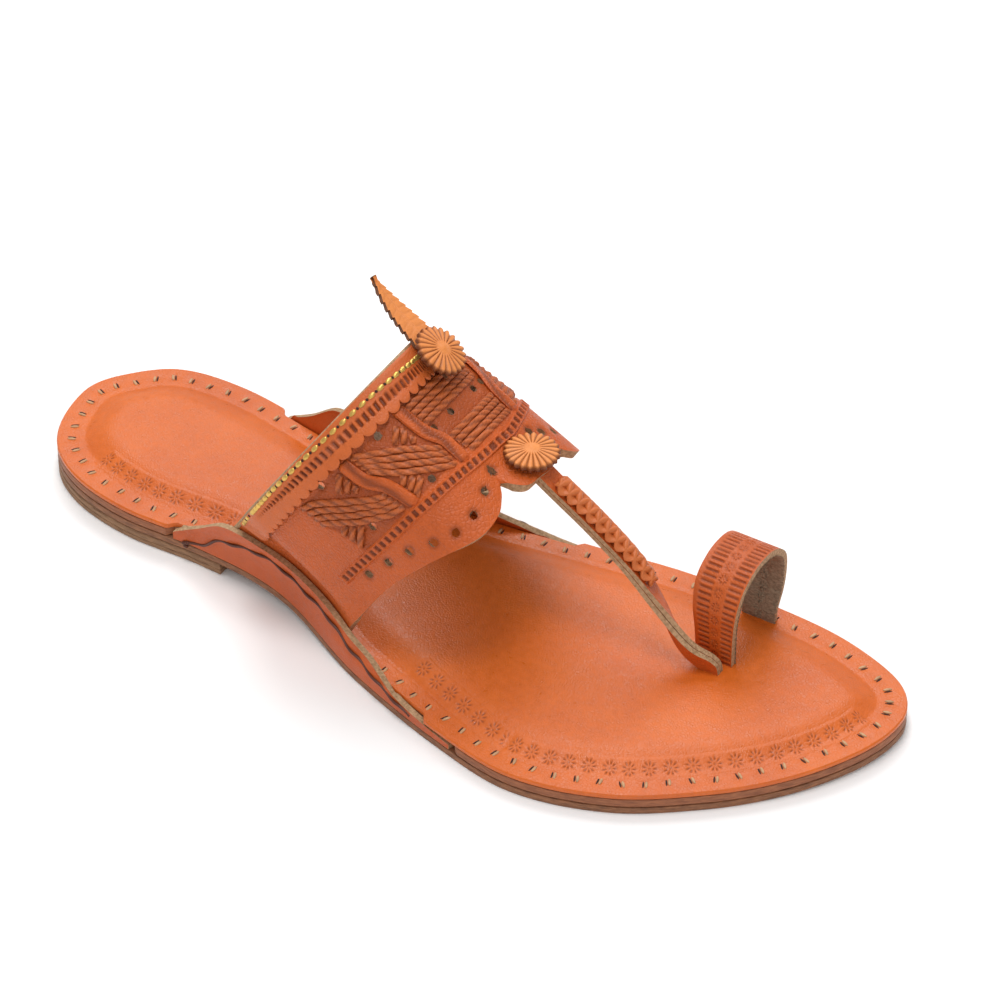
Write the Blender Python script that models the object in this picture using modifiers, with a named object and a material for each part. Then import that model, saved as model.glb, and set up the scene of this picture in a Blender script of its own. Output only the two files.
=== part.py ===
"""Kolhapuri chappal for the right foot: a flat leather sandal with a broad instep band and a toe loop.

X runs from the heel to the toes, +Y is the big-toe side and Z is up. The floor is z = 0 and the
origin is on the floor under the middle of the heel. Lengths are in metres.
"""

import math
from collections import namedtuple

import bmesh
import bpy
from mathutils import Matrix, Vector

MM = 0.001

# Driving dimensions of the whole shoe.
SOLE_LENGTH = 265 * MM
BALL_WIDTH = 95 * MM
INSTEP_HEIGHT = 81 * MM
HEEL_CENTRE = 32 * MM

# Thicknesses of the sole's layers, from the floor up.
HEEL_RISE = 3.8 * MM
OUTSOLE_THICKNESS = 2.2 * MM
MIDSOLE_THICKNESS = 2.6 * MM
INSOLE_THICKNESS = 1.2 * MM
PILLOW_RISE = 2.6 * MM
TOE_SPRING = 0.8 * MM

# Gap that neighbouring pieces keep.
CLEARANCE = 0.3 * MM

# Edges and margins of the sole.
EDGE_ROUND = 0.4 * MM
INSOLE_MARGIN = 8 * MM
PILLOW_SLOPE = 4.5 * MM
PILLOW_SHARES = (0.0, 0.35, 0.65, 1.0)
LIFT_LENGTH = 72 * MM

# Walls and bands of the upper.
BAND_WALL = 2.6 * MM
CORD_RISE = 0.9 * MM
CORD_BUNDLE_WIDTH = 6.5 * MM
TONGUE_LIFT = 3.6 * MM
FLAP_HEIGHT = 14.5 * MM
FLAP_WALL = 1.8 * MM
STRAP_WALL = 2.9 * MM
STRAP_WIDTH = 6.2 * MM
STRAP_END_WIDTH = 5.6 * MM
PLAIT_RISE = 2.3 * MM
PLAIT_WIDTH = 5.6 * MM
PLAIT_PITCH = 14 * MM

# Trim along and on the band.
EDGE_STRIP_WALL = 1.2 * MM
SCALLOP_DEPTH = 1.1 * MM
SCALLOP_PITCH = 3.6 * MM
ROSETTE_DIAMETER = 15.5 * MM
ROSETTE_WALL = 1.4 * MM
ROSETTE_DOME = 0.7 * MM
ROSETTE_TOOTH = 0.8 * MM
ROSETTE_TEETH = 22
ROSETTE_GAP = 3 * CLEARANCE
FEATHER_WALL = 1.3 * MM
FEATHER_WIDTH = 8.4 * MM
FEATHER_TOOTH = 0.7 * MM
FEATHER_TEETH = 13
FEATHER_GAP = 3.5 * CLEARANCE

# Toe loop.
LOOP_WALL = 2.0 * MM
LOOP_WIDTH = 14.5 * MM
LOOP_SPAN = 30 * MM
LOOP_HEIGHT = 30.8 * MM

# Numbers of facets, and of steps where a length is measured along a curve.
OUTLINE_POINTS = 72
BAND_COLUMNS = 66
BAND_ROWS = 15
EDGE_ROWS = 2
MEASURING_STEPS = 200

# Small steps by which a curve's direction is read: angles in radians and turns in degrees.
ANGLE_STEP = 0.01
TURN_STEP = 1.0
REACH_STEP = 0.02
STRAP_STEP = 0.004

# Levels of the stacked layers where the sole lies flat on the floor.
MIDSOLE_BOTTOM = OUTSOLE_THICKNESS + CLEARANCE
INSOLE_BOTTOM = MIDSOLE_BOTTOM + MIDSOLE_THICKNESS + CLEARANCE
INSOLE_TOP = INSOLE_BOTTOM + INSOLE_THICKNESS
LIFT_TOP = HEEL_RISE - CLEARANCE

LATERAL = -1
MEDIAL = 1

# The sole's outline: place along the sole, and the width on each side of the foot's axis.
SoleRow = namedtuple("SoleRow", "along medial lateral")
SOLE_ROWS = (
    SoleRow(0.00, 0.010, -0.010),
    SoleRow(0.02, 0.138, 0.206),
    SoleRow(0.07, 0.254, 0.322),
    SoleRow(0.15, 0.278, 0.377),
    SoleRow(0.25, 0.234, 0.376),
    SoleRow(0.36, 0.171, 0.412),
    SoleRow(0.48, 0.195, 0.559),
    SoleRow(0.60, 0.239, 0.671),
    SoleRow(0.70, 0.277, 0.723),
    SoleRow(0.80, 0.281, 0.654),
    SoleRow(0.88, 0.265, 0.505),
    SoleRow(0.94, 0.217, 0.341),
    SoleRow(0.98, 0.151, 0.173),
    SoleRow(1.00, 0.030, -0.030),
)

# Where the sole leaves the heel lift and where it reaches the floor again, and the toe's lift-off.
ARCH_SPAN = (0.27, 0.50)
TOE_SPAN = (0.90, 1.00)
ARCH_CUTS = 8
TOE_CUTS = 3

# Side flaps: place along the sole, height above the flap's foot, and lean outwards at the top.
FlapRow = namedtuple("FlapRow", "along top lean")
FLAP_ROWS = (
    FlapRow(0.212, 0.17, 0.00),
    FlapRow(0.245, 0.54, 0.04),
    FlapRow(0.281, 0.98, 0.14),
    FlapRow(0.331, 1.00, 0.14),
    FlapRow(0.377, 0.94, 0.05),
    FlapRow(0.430, 0.83, -0.06),
    FlapRow(0.467, 0.63, -0.10),
    FlapRow(0.498, 0.52, -0.10),
    FlapRow(0.542, 0.28, 0.00),
    FlapRow(0.587, 0.16, 0.00),
    FlapRow(0.622, 0.11, 0.00),
)
FLAP_COLUMNS = 30
FLAP_LEVELS = 4

# The band's cross sections at its rear edge and at the notches of its front edge. Along is a share
# of the sole's length, heights are shares of the instep height, and widths of the ball width.
BandRow = namedtuple(
    "BandRow",
    "along base_height centre_height crown centre_side lateral medial slant squareness",
)
BAND_REAR = BandRow(0.298, 0.266, 0.502, 0.498, -0.102, 0.380, 0.323, 0.65, 2.05)
BAND_FRONT = BandRow(0.468, 0.118, 0.209, 0.505, -0.147, 0.357, 0.357, 0.63, 3.68)

# Turns are degrees round the arch: 0 at the lateral side's widest point, 90 at the crown and 180 at
# the medial side's widest point. The walls go on below the widest points by this many degrees.
WALL_TURN = 40
LATERAL_NOTCH = 87
MEDIAL_NOTCH = 103.5
ARCH_TURN = 180

# The front edge: reach is 0 at the rear edge and 1 at the line of the notches.
EdgeRow = namedtuple("EdgeRow", "turn reach")
LATERAL_LOBE = (
    EdgeRow(-40, 0.93),
    EdgeRow(0, 0.93),
    EdgeRow(11, 0.94),
    EdgeRow(31, 1.01),
    EdgeRow(54, 1.095),
    EdgeRow(68, 1.125),
    EdgeRow(80, 1.105),
    EdgeRow(85, 1.045),
    EdgeRow(LATERAL_NOTCH, 0.985),
)
TONGUE = (
    EdgeRow(LATERAL_NOTCH, 0.985),
    EdgeRow(88.2, 1.10),
    EdgeRow(89.3, 1.18),
    EdgeRow(90.4, 1.21),
    EdgeRow(92, 1.22),
    EdgeRow(94.5, 1.20),
    EdgeRow(98.5, 1.12),
    EdgeRow(MEDIAL_NOTCH, 0.995),
)
MEDIAL_LOBE = (
    EdgeRow(MEDIAL_NOTCH, 0.995),
    EdgeRow(105.5, 1.055),
    EdgeRow(110, 1.135),
    EdgeRow(120, 1.195),
    EdgeRow(137, 1.19),
    EdgeRow(160, 1.115),
    EdgeRow(176, 1.025),
    EdgeRow(184, 0.99),
    EdgeRow(220, 0.99),
)
TONGUE_START = 0.90
MIDDLE_REACH = 0.60

# Raised cord bundles of the weave, each a line on the band from one end to the other.
BundleRow = namedtuple("BundleRow", "from_turn from_reach to_turn to_reach")
SIDE_BUNDLES = (
    BundleRow(42, 0.25, 77, 0.72),
    BundleRow(62, 0.27, 56, 0.70),
    BundleRow(14, 0.25, 41, 0.66),
    BundleRow(32, 0.26, 14, 0.66),
)
CENTRE_BUNDLES = (
    BundleRow(71, 0.34, 121, 0.34),
    BundleRow(79, 0.62, 112, 0.62),
)
BAND_MIDDLE_TURN = 95.25

# The scalloped strip along the rear edge.
STRIP_REACH = 0.175
STRIP_TURNS = (-21, 201)
STRIP_FACETS_A_SCALLOP = 4

# Places of the two rosettes on the band.
REAR_ROSETTE = EdgeRow(96, 0.16)
FRONT_ROSETTE = EdgeRow(92, 1.02)

# The toe strap, from under the tongue to its slot: place between the two ends, height above the
# slot's floor as a share of the tongue's, and roll in degrees from lying flat to standing.
StrapRow = namedtuple("StrapRow", "along side height roll")
STRAP_ROWS = (
    StrapRow(0.00, 0.00, 1.03, 0),
    StrapRow(0.12, -0.05, 0.95, 0),
    StrapRow(0.35, -0.05, 0.795, 0),
    StrapRow(0.56, 0.10, 0.615, 8),
    StrapRow(0.73, 0.15, 0.420, 30),
    StrapRow(0.88, 0.05, 0.215, 68),
    StrapRow(0.99, 0.80, 0.145, 88),
    StrapRow(1.00, 1.00, 0.085, 90),
    StrapRow(1.00, 1.00, 0.000, 90),
)
STRAP_ROOT = EdgeRow(91.5, 1.08)
STRAP_ROOT_DEPTH = 1.5 * MM
STRAP_SLOT_ALONG = 0.802
STRAP_GAP = 2 * MM
STRAP_STEPS = 26
PLAIT_SPAN = (0.115, 0.44)
PLAIT_STEPS = 42
PLAIT_LANES = 8

# The braid's section, as shares of its half width and of its height: a strand's half width, how
# high a strand stays where it dives under the next, and the thinnest place at the sides.
STRANDS = 3
STRAND_WIDTH = 0.62
STRAND_LOW = 0.55
PLAIT_SIDE = 0.20

# The toe loop as seen from the toes: side across its span, height, place along the sole from the
# loop's middle as a share of its width, and width as a share of its full width.
LoopRow = namedtuple("LoopRow", "side height shift width")
LOOP_ROWS = (
    LoopRow(0.00, 0.00, 0.10, 0.76),
    LoopRow(0.00, 0.15, 0.10, 0.76),
    LoopRow(0.00, 0.42, 0.08, 0.80),
    LoopRow(0.02, 0.67, 0.05, 0.90),
    LoopRow(0.14, 0.87, 0.01, 0.98),
    LoopRow(0.36, 0.985, 0.00, 1.00),
    LoopRow(0.59, 1.00, 0.00, 1.00),
    LoopRow(0.80, 0.93, 0.00, 1.00),
    LoopRow(0.96, 0.77, 0.02, 0.96),
    LoopRow(1.00, 0.57, 0.05, 0.88),
    LoopRow(0.96, 0.36, 0.10, 0.78),
    LoopRow(0.88, 0.15, 0.12, 0.70),
    LoopRow(0.88, 0.00, 0.12, 0.70),
)
LOOP_ALONG = 0.792
LOOP_SIDE = -4.4 * MM
LOOP_STEPS = 34
LOOP_LANES = 3
SLOT_HEIGHT = 20 * MM

# The feather, from its end under the rear rosette to its tip: offsets from the rosette's seat
# along the sole, to the medial side and up, as shares of the feather's length, and its width.
FeatherRow = namedtuple("FeatherRow", "back side up width")
FEATHER_LENGTH = 27 * MM
FEATHER_ROWS = (
    FeatherRow(-0.19, -0.01, -0.115, 0.80),
    FeatherRow(0.00, 0.01, 0.000, 0.95),
    FeatherRow(0.21, 0.04, 0.125, 1.00),
    FeatherRow(0.39, 0.07, 0.215, 0.90),
    FeatherRow(0.55, 0.09, 0.310, 0.72),
    FeatherRow(0.70, 0.11, 0.425, 0.45),
    FeatherRow(0.83, 0.13, 0.550, 0.06),
)


def clear_scene():
    """Remove every object that the new file starts with."""
    for item in list(bpy.data.objects):
        bpy.data.objects.remove(item, do_unlink=True)


def new_collection(name):
    """A collection of that name in the scene."""
    collection = bpy.data.collections.new(name)
    bpy.context.scene.collection.children.link(collection)
    return collection


def leather(name, red, green, blue, roughness):
    """A leather of the given sRGB colour, each channel from 0 to 255."""
    material = bpy.data.materials.new(name)
    material.use_nodes = True
    linear = [((channel / 255 + 0.055) / 1.055) ** 2.4 for channel in (red, green, blue)]
    shader = material.node_tree.nodes["Principled BSDF"]
    shader.inputs["Base Color"].default_value = (*linear, 1.0)
    shader.inputs["Roughness"].default_value = roughness
    shader.inputs["Metallic"].default_value = 0.0
    material.diffuse_color = (*linear, 1.0)
    return material


def mix(start, end, share):
    """The value that share of the way from start to end."""
    return start + (end - start) * share


def ease(share):
    """Rise from 0 to 1 with flat ends, and hold outside them."""
    share = min(max(share, 0.0), 1.0)
    return share * share * (3 - 2 * share)


def smooth(places, values, at):
    """The height at a place of the smooth curve through the given points."""
    if at <= places[0]:
        return values[0]
    if at >= places[-1]:
        return values[-1]
    index = max(i for i, place in enumerate(places[:-1]) if place <= at)

    def slope(i):
        low = max(i - 1, 0)
        high = min(i + 1, len(places) - 1)
        return (values[high] - values[low]) / (places[high] - places[low])

    width = places[index + 1] - places[index]
    share = (at - places[index]) / width
    enter = slope(index) * width * share * (1 - share) ** 2
    leave = slope(index + 1) * width * share * share * (1 - share)
    return mix(values[index], values[index + 1], ease(share)) + enter - leave


def column(rows, name):
    """One column of a table."""
    return [getattr(row, name) for row in rows]


def path_value(rows, name, share):
    """The smooth value of a column, with the table's rows evenly spaced from 0 to 1."""
    places = [i / (len(rows) - 1) for i in range(len(rows))]
    return smooth(places, column(rows, name), share)


def spread(start, end, count):
    """Evenly spaced values from start to end, both counted."""
    return [mix(start, end, i / (count - 1)) for i in range(count)]


# The sole's outline. An angle goes round it: 0 at the heel, half a turn at the toe, lateral side first.

OUTLINE_ANGLES = [math.acos(1 - 2 * row.along) for row in SOLE_ROWS]


def outline_angle(share, side):
    """The angle round the outline at a share of the sole's length on one side."""
    angle = math.acos(1 - 2 * share)
    return angle if side == LATERAL else 2 * math.pi - angle


def outline_point(angle):
    """The outline's point at an angle."""
    angle %= 2 * math.pi
    side = LATERAL if angle <= math.pi else MEDIAL
    turn = angle if side == LATERAL else 2 * math.pi - angle
    name = "lateral" if side == LATERAL else "medial"
    half = smooth(OUTLINE_ANGLES, column(SOLE_ROWS, name), turn)
    return Vector((SOLE_LENGTH * (1 - math.cos(turn)) / 2, side * half * BALL_WIDTH))


def edge_point(angle, inset):
    """A point that lies the inset inside the outline, square to it."""
    run = outline_point(angle + ANGLE_STEP) - outline_point(angle - ANGLE_STEP)
    inward = Vector((-run.y, run.x)).normalized()
    return outline_point(angle) + inward * inset


def side_offset(x, side, inset):
    """The y of a line that runs the inset inside the outline, at a place along the sole."""
    angle = outline_angle(x / SOLE_LENGTH, side)
    run = outline_point(angle + ANGLE_STEP) - outline_point(angle - ANGLE_STEP)
    slant = math.hypot(run.x, run.y) / abs(run.x)
    return outline_point(angle).y - side * inset * slant


def rise(x):
    """How high the sole's layers are lifted at a place along the sole."""
    share = x / SOLE_LENGTH
    arch = 1 - ease((share - ARCH_SPAN[0]) / (ARCH_SPAN[1] - ARCH_SPAN[0]))
    toe = ease((share - TOE_SPAN[0]) / (TOE_SPAN[1] - TOE_SPAN[0]))
    return HEEL_RISE * arch + TOE_SPRING * toe


def flap_top(x):
    """The level of a side flap's top edge, which stays low past its two ends."""
    height = smooth(column(FLAP_ROWS, "along"), column(FLAP_ROWS, "top"), x / SOLE_LENGTH)
    return rise(x) + MIDSOLE_BOTTOM + height * FLAP_HEIGHT


def flap_lean(x, z):
    """How far a side flap leans outwards at a level above the insole's edge."""
    share = x / SOLE_LENGTH
    level = rise(x) + INSOLE_TOP
    top = flap_top(x)
    if z <= level or top <= level:
        return 0.0
    lean = smooth(column(FLAP_ROWS, "along"), column(FLAP_ROWS, "lean"), share)
    return lean * FLAP_HEIGHT * ease(min((z - level) / (top - level), 1.0))


def recess_span(layer_bottom):
    """The shares of the sole's length between which a layer makes room for the side flaps."""
    shares = spread(FLAP_ROWS[0].along, FLAP_ROWS[-1].along, MEASURING_STEPS)
    level = layer_bottom - CLEARANCE
    covered = [s for s in shares if flap_top(s * SOLE_LENGTH) - rise(s * SOLE_LENGTH) > level]
    margin = 2 * CLEARANCE / SOLE_LENGTH
    return covered[0] - margin, covered[-1] + margin


def outline_angles(span):
    """Angles round the outline, with extra ones where the recess for the flaps starts and ends."""
    angles = [2 * math.pi * i / OUTLINE_POINTS for i in range(OUTLINE_POINTS)]
    if span is None:
        return angles
    ramp = FLAP_WALL / SOLE_LENGTH
    marks = [span[0] - ramp, span[0], span[1], span[1] + ramp]
    special = [outline_angle(share, side) for side in (LATERAL, MEDIAL) for share in marks]
    crowded = math.pi / (2 * OUTLINE_POINTS)
    kept = [a for a in angles if min(abs(a - mark) for mark in special) > crowded]
    return sorted(kept + special)


def recess(angle, span):
    """The depth of the recess for the flaps at an angle round the outline."""
    if span is None:
        return 0.0
    share = (1 - math.cos(angle)) / 2
    ramp = FLAP_WALL / SOLE_LENGTH
    into = min(share - span[0], span[1] - share)
    return (FLAP_WALL + CLEARANCE) * min(max(into / ramp + 1, 0.0), 1.0)


def ring(inset, level, span=None, keep_recess=True):
    """A closed ring of points inside the outline at one level."""
    points = []
    for angle in outline_angles(span):
        depth = recess(angle, span) if keep_recess else 0.0
        points.append((*edge_point(angle, inset + depth), level))
    return points


def loft(rings):
    """A closed solid through a list of rings with the same number of points, capped at both ends."""
    bm = bmesh.new()
    loops = [[bm.verts.new(point) for point in points] for points in rings]
    count = len(loops[0])
    for low, high in zip(loops, loops[1:]):
        for i in range(count):
            j = (i + 1) % count
            bm.faces.new((low[i], low[j], high[j], high[i]))
    bm.faces.new(reversed(loops[0]))
    bm.faces.new(loops[-1])
    bmesh.ops.recalc_face_normals(bm, faces=bm.faces)
    return bm


def bend_to_rise(bm):
    """Cut a flat layer across where the sole bends, and lift it to its level."""
    arch = spread(ARCH_SPAN[0], ARCH_SPAN[1], ARCH_CUTS)
    toe = spread(TOE_SPAN[0], TOE_SPAN[1], TOE_CUTS + 1)[:-1]
    for share in arch + toe:
        geometry = bm.verts[:] + bm.edges[:] + bm.faces[:]
        place = (share * SOLE_LENGTH, 0, 0)
        bmesh.ops.bisect_plane(bm, geom=geometry, dist=1e-6, plane_co=place, plane_no=(1, 0, 0))
    for vert in bm.verts:
        vert.co.z += rise(vert.co.x)


def add_object(name, bm, material, collection):
    """Turn a mesh into an object whose origin is under the middle of the heel."""
    mesh = bpy.data.meshes.new(name)
    bm.to_mesh(mesh)
    bm.free()
    piece = bpy.data.objects.new(name, mesh)
    piece.location.x = -HEEL_CENTRE
    collection.objects.link(piece)
    if material is not None:
        mesh.materials.append(material)
    return piece


def add_layer(name, bottom, top, span, material, collection):
    """A flat layer of the sole with softly rounded edges."""
    bm = loft(
        [
            ring(EDGE_ROUND, bottom, span),
            ring(0, bottom + EDGE_ROUND, span),
            ring(0, top - EDGE_ROUND, span),
            ring(EDGE_ROUND, top, span),
        ]
    )
    bend_to_rise(bm)
    return add_object(name, bm, material, collection)


def lift_ring(inset, level):
    """A ring round the heel lift, closed by its straight front face."""
    end = outline_angle(LIFT_LENGTH / SOLE_LENGTH, LATERAL)
    points = []
    for angle in spread(-end, end, OUTLINE_POINTS // 3):
        place = edge_point(angle, inset)
        points.append((min(place.x, LIFT_LENGTH - inset), place.y, level))
    return points


def add_heel_lift(material, collection):
    """The block of stacked leather under the heel."""
    bm = loft(
        [
            lift_ring(EDGE_ROUND, 0),
            lift_ring(0, EDGE_ROUND),
            lift_ring(0, LIFT_TOP - EDGE_ROUND),
            lift_ring(EDGE_ROUND, LIFT_TOP),
        ]
    )
    return add_object("heel_lift", bm, material, collection)


def add_insole(material, collection):
    """The top leather: a flat margin round a raised, padded middle."""
    span = recess_span(INSOLE_BOTTOM)
    rings = [
        ring(0, INSOLE_BOTTOM, span),
        ring(0, INSOLE_TOP - EDGE_ROUND, span),
        ring(EDGE_ROUND, INSOLE_TOP, span),
    ]
    for share in PILLOW_SHARES:
        inset = INSOLE_MARGIN + PILLOW_SLOPE * share
        level = INSOLE_TOP + PILLOW_RISE * math.sin(share * math.pi / 2)
        rings.append(ring(inset, level, span, keep_recess=False))
    bm = loft(rings)
    bend_to_rise(bm)
    return add_object("insole", bm, material, collection)


def add_shell(name, columns, rows, surface, wall, material, collection):
    """A wall of even thickness behind the surface through a grid of columns and rows.

    Columns run so that the surface faces out where the rows go on to its left. A negative wall
    grows out of the surface.
    """
    bm = bmesh.new()
    bmesh.ops.create_grid(bm, x_segments=len(columns) - 1, y_segments=len(rows) - 1, size=0.5)
    for vert in bm.verts:
        across = columns[round((vert.co.x + 0.5) * (len(columns) - 1))]
        along = rows[round((vert.co.y + 0.5) * (len(rows) - 1))]
        vert.co = surface(across, along)
    piece = add_object(name, bm, material, collection)
    skin = piece.modifiers.new("wall", "SOLIDIFY")
    skin.thickness = abs(wall)
    skin.offset = -1 if wall > 0 else 1
    return piece


def flap_point(side, x, height):
    """A point of a side flap's outer face at a share of its height."""
    z = mix(rise(x) + MIDSOLE_BOTTOM, flap_top(x), height)
    return Vector((x, side_offset(x, side, -flap_lean(x, z)), z))


def add_flap(name, side, material, collection):
    """One of the two side flaps that stand up beside the waist."""
    columns = spread(FLAP_ROWS[0].along * SOLE_LENGTH, FLAP_ROWS[-1].along * SOLE_LENGTH, FLAP_COLUMNS)
    if side == MEDIAL:
        columns.reverse()

    def surface(x, height):
        return flap_point(side, x, height)

    return add_shell(name, columns, spread(0, 1, FLAP_LEVELS), surface, FLAP_WALL, material, collection)


# The instep band.


def band_row(reach):
    """The band's cross section at a reach."""
    return BandRow(*[mix(rear, front, reach) for rear, front in zip(BAND_REAR, BAND_FRONT)])


def tongue_lift(turn, reach):
    """How far the tongue between the notches rises off the arch."""
    if not LATERAL_NOTCH < turn < MEDIAL_NOTCH:
        return 0.0
    tip = max(column(TONGUE, "reach"))
    return TONGUE_LIFT * ease((reach - TONGUE_START) / (tip - TONGUE_START))


def arch_point(turn, reach):
    """A point of the plain arch's outer face, without its raised cords."""
    row = band_row(reach)
    centre = row.centre_height * INSTEP_HEIGHT
    crown = row.crown * INSTEP_HEIGHT
    side = LATERAL if turn < (ARCH_TURN / 2) else MEDIAL
    half = (row.lateral if side == LATERAL else row.medial) * BALL_WIDTH
    power = 2 / row.squareness
    middle = row.centre_side * BALL_WIDTH

    def along(z):
        return row.along * SOLE_LENGTH + row.slant * (z - row.base_height * INSTEP_HEIGHT)

    if 0 <= turn <= ARCH_TURN:
        angle = math.radians(turn)
        z = centre + crown * math.sin(angle) ** power + tongue_lift(turn, reach)
        y = middle + side * half * abs(math.cos(angle)) ** power
        return Vector((along(z), y, z))
    fall = -turn / WALL_TURN if turn < 0 else (turn - ARCH_TURN) / WALL_TURN
    foot_x = along(INSOLE_TOP + HEEL_RISE)
    foot = rise(foot_x) + INSOLE_TOP + 2 * CLEARANCE
    z = mix(centre, foot, fall)
    x = along(z)
    drop = (centre - z) / crown
    y = middle + side * half * max(1 - drop**row.squareness, 0.0) ** (1 / row.squareness)
    inside = side_offset(x, side, FLAP_WALL + CLEARANCE - flap_lean(x, z))
    brim = flap_top(x) + FLAP_WALL
    share = 1.0 if z <= brim else ease((centre - z) / (centre - brim))
    return Vector((x, mix(y, inside, share), z))


def band_normal(turn, reach):
    """The direction square to the band's outer face, pointing out."""
    round_run = arch_point(turn + TURN_STEP, reach) - arch_point(turn - TURN_STEP, reach)
    front_run = arch_point(turn, reach + REACH_STEP) - arch_point(turn, reach - REACH_STEP)
    return front_run.cross(round_run).normalized()


def cord_height(turn, reach):
    """How far the weave's raised cord bundles stand above the band at a place, from 0 to 1."""
    mirrored = 2 * BAND_MIDDLE_TURN - turn
    height = 0.0
    places = [(row, turn) for row in SIDE_BUNDLES + CENTRE_BUNDLES]
    places += [(row, mirrored) for row in SIDE_BUNDLES]
    for row, at_turn in places:
        start = arch_point(row.from_turn, row.from_reach)
        end = arch_point(row.to_turn, row.to_reach)
        here = arch_point(at_turn, reach)
        run = end - start
        share = min(max((here - start).dot(run) / run.length_squared, 0.0), 1.0)
        wide_turn = mix(row.from_turn, row.to_turn, share)
        wide_reach = mix(row.from_reach, row.to_reach, share)
        gap = (here - arch_point(wide_turn, wide_reach)).length
        height = max(height, ease(2 - 2 * gap / CORD_BUNDLE_WIDTH))
    return height


def front_reach(turn):
    """The reach of the band's front edge at a turn."""
    for rows in (LATERAL_LOBE, TONGUE, MEDIAL_LOBE):
        if turn <= rows[-1].turn:
            return smooth(column(rows, "turn"), column(rows, "reach"), turn)
    return MEDIAL_LOBE[-1].reach


def even_turns(start, end, count):
    """Turns that are evenly spaced along the arch between the rear edge and the front."""
    fine = spread(start, end, MEASURING_STEPS)
    points = [arch_point(turn, MIDDLE_REACH) for turn in fine]
    lengths = [0.0]
    for first, second in zip(points, points[1:]):
        lengths.append(lengths[-1] + (second - first).length)
    return [smooth(lengths, fine, lengths[-1] * i / (count - 1)) for i in range(count)]


def band_turns():
    """The turns of the band's columns, with one at each notch."""
    tongue = [row.turn for row in TONGUE]
    side = (BAND_COLUMNS - len(tongue)) // 2
    lateral = even_turns(-WALL_TURN, LATERAL_NOTCH, side)
    medial = even_turns(MEDIAL_NOTCH, ARCH_TURN + WALL_TURN, side)
    return list(reversed(lateral[:-1] + tongue + medial[1:]))


def strip_reach(bulge):
    """The reach of the edge strip's front edge, bulge 0 between two scallops and 1 on a scallop."""
    foot_to_front = (arch_point(ARCH_TURN / 2, 1) - arch_point(ARCH_TURN / 2, 0)).length
    return STRIP_REACH + bulge * SCALLOP_DEPTH / foot_to_front


def add_band(material, collection):
    """The instep band: one arched wall with its front lobes, tongue and raised cord bundles.

    Its rows run from 0 to 1 under the edge strip, where it is plain, and on to 2 at the front.
    """
    strip_front = strip_reach(1)

    def surface(turn, row):
        if row <= 1:
            return arch_point(turn, row * strip_front)
        reach = mix(strip_front, front_reach(turn), row - 1)
        return arch_point(turn, reach) + band_normal(turn, reach) * CORD_RISE * cord_height(turn, reach)

    rows = spread(0, 1, EDGE_ROWS) + spread(1, 2, BAND_ROWS)[1:]
    return add_shell("upper", band_turns(), rows, surface, BAND_WALL, material, collection)


def add_edge_strip(material, collection):
    """The scalloped strip that lies along the band's rear edge."""
    start = arch_point(STRIP_TURNS[0], STRIP_REACH)
    length = 0.0
    for turn in spread(STRIP_TURNS[0], STRIP_TURNS[1], BAND_COLUMNS):
        point = arch_point(turn, STRIP_REACH)
        length += (point - start).length
        start = point
    scallops = round(length / SCALLOP_PITCH)
    columns = even_turns(STRIP_TURNS[1], STRIP_TURNS[0], scallops * STRIP_FACETS_A_SCALLOP + 1)

    def surface(turn, share):
        step = columns.index(turn) % STRIP_FACETS_A_SCALLOP
        reach = share * strip_reach(math.sin(math.pi * step / STRIP_FACETS_A_SCALLOP))
        return arch_point(turn, reach) + band_normal(turn, reach) * CLEARANCE

    rows = spread(0, 1, EDGE_ROWS)
    return add_shell("edge_strip", columns, rows, surface, -EDGE_STRIP_WALL, material, collection)


# The toe strap and the braid on it.


def slot_floor(x):
    """The level on which the legs and the strap stand inside the insole's slots."""
    return rise(x) + INSOLE_BOTTOM


def strap_ends():
    """Where the strap's top face starts under the tongue and where it ends in its slot."""
    root = arch_point(STRAP_ROOT.turn, STRAP_ROOT.reach)
    root -= band_normal(STRAP_ROOT.turn, STRAP_ROOT.reach) * STRAP_ROOT_DEPTH
    x = STRAP_SLOT_ALONG * SOLE_LENGTH
    return root, Vector((x, LOOP_SIDE - STRAP_GAP, slot_floor(x)))


def strap_centre(share):
    """The middle of the strap's top face at a share of its length."""
    root, foot = strap_ends()
    x = mix(root.x, foot.x, path_value(STRAP_ROWS, "along", share))
    y = mix(root.y, foot.y, path_value(STRAP_ROWS, "side", share))
    z = mix(foot.z, root.z, path_value(STRAP_ROWS, "height", share))
    return Vector((x, y, z))


def strap_frame(share):
    """The directions across the strap and out of its top face."""
    run = strap_centre(min(share + STRAP_STEP, 1.0)) - strap_centre(max(share - STRAP_STEP, 0.0))
    run.normalize()
    roll = math.radians(path_value(STRAP_ROWS, "roll", share))
    level = Vector((0, 1, 0))
    level = (level - run * level.dot(run)).normalized()
    flat = run.cross(level)
    flat *= math.copysign(1, flat.z)
    out = flat * math.cos(roll) + level * math.sin(roll)
    return run.cross(out).normalized(), out.normalized()


def strap_point(share, lane, lift):
    """A point above the strap's top face, lane from -1 to 1 across its width."""
    across, out = strap_frame(share)
    half = mix(STRAP_WIDTH, STRAP_END_WIDTH, ease(share)) / 2
    return strap_centre(share) + across * half * lane + out * lift


def add_toe_strap(cutters):
    """The strap from under the tongue to its slot, as a solid that is joined to the band."""

    def surface(share, lane):
        return strap_point(share, lane, 0)

    return add_shell(
        "toe_strap", spread(0, 1, STRAP_STEPS), [1, 0, -1], surface, STRAP_WALL, None, cutters
    )


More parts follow.
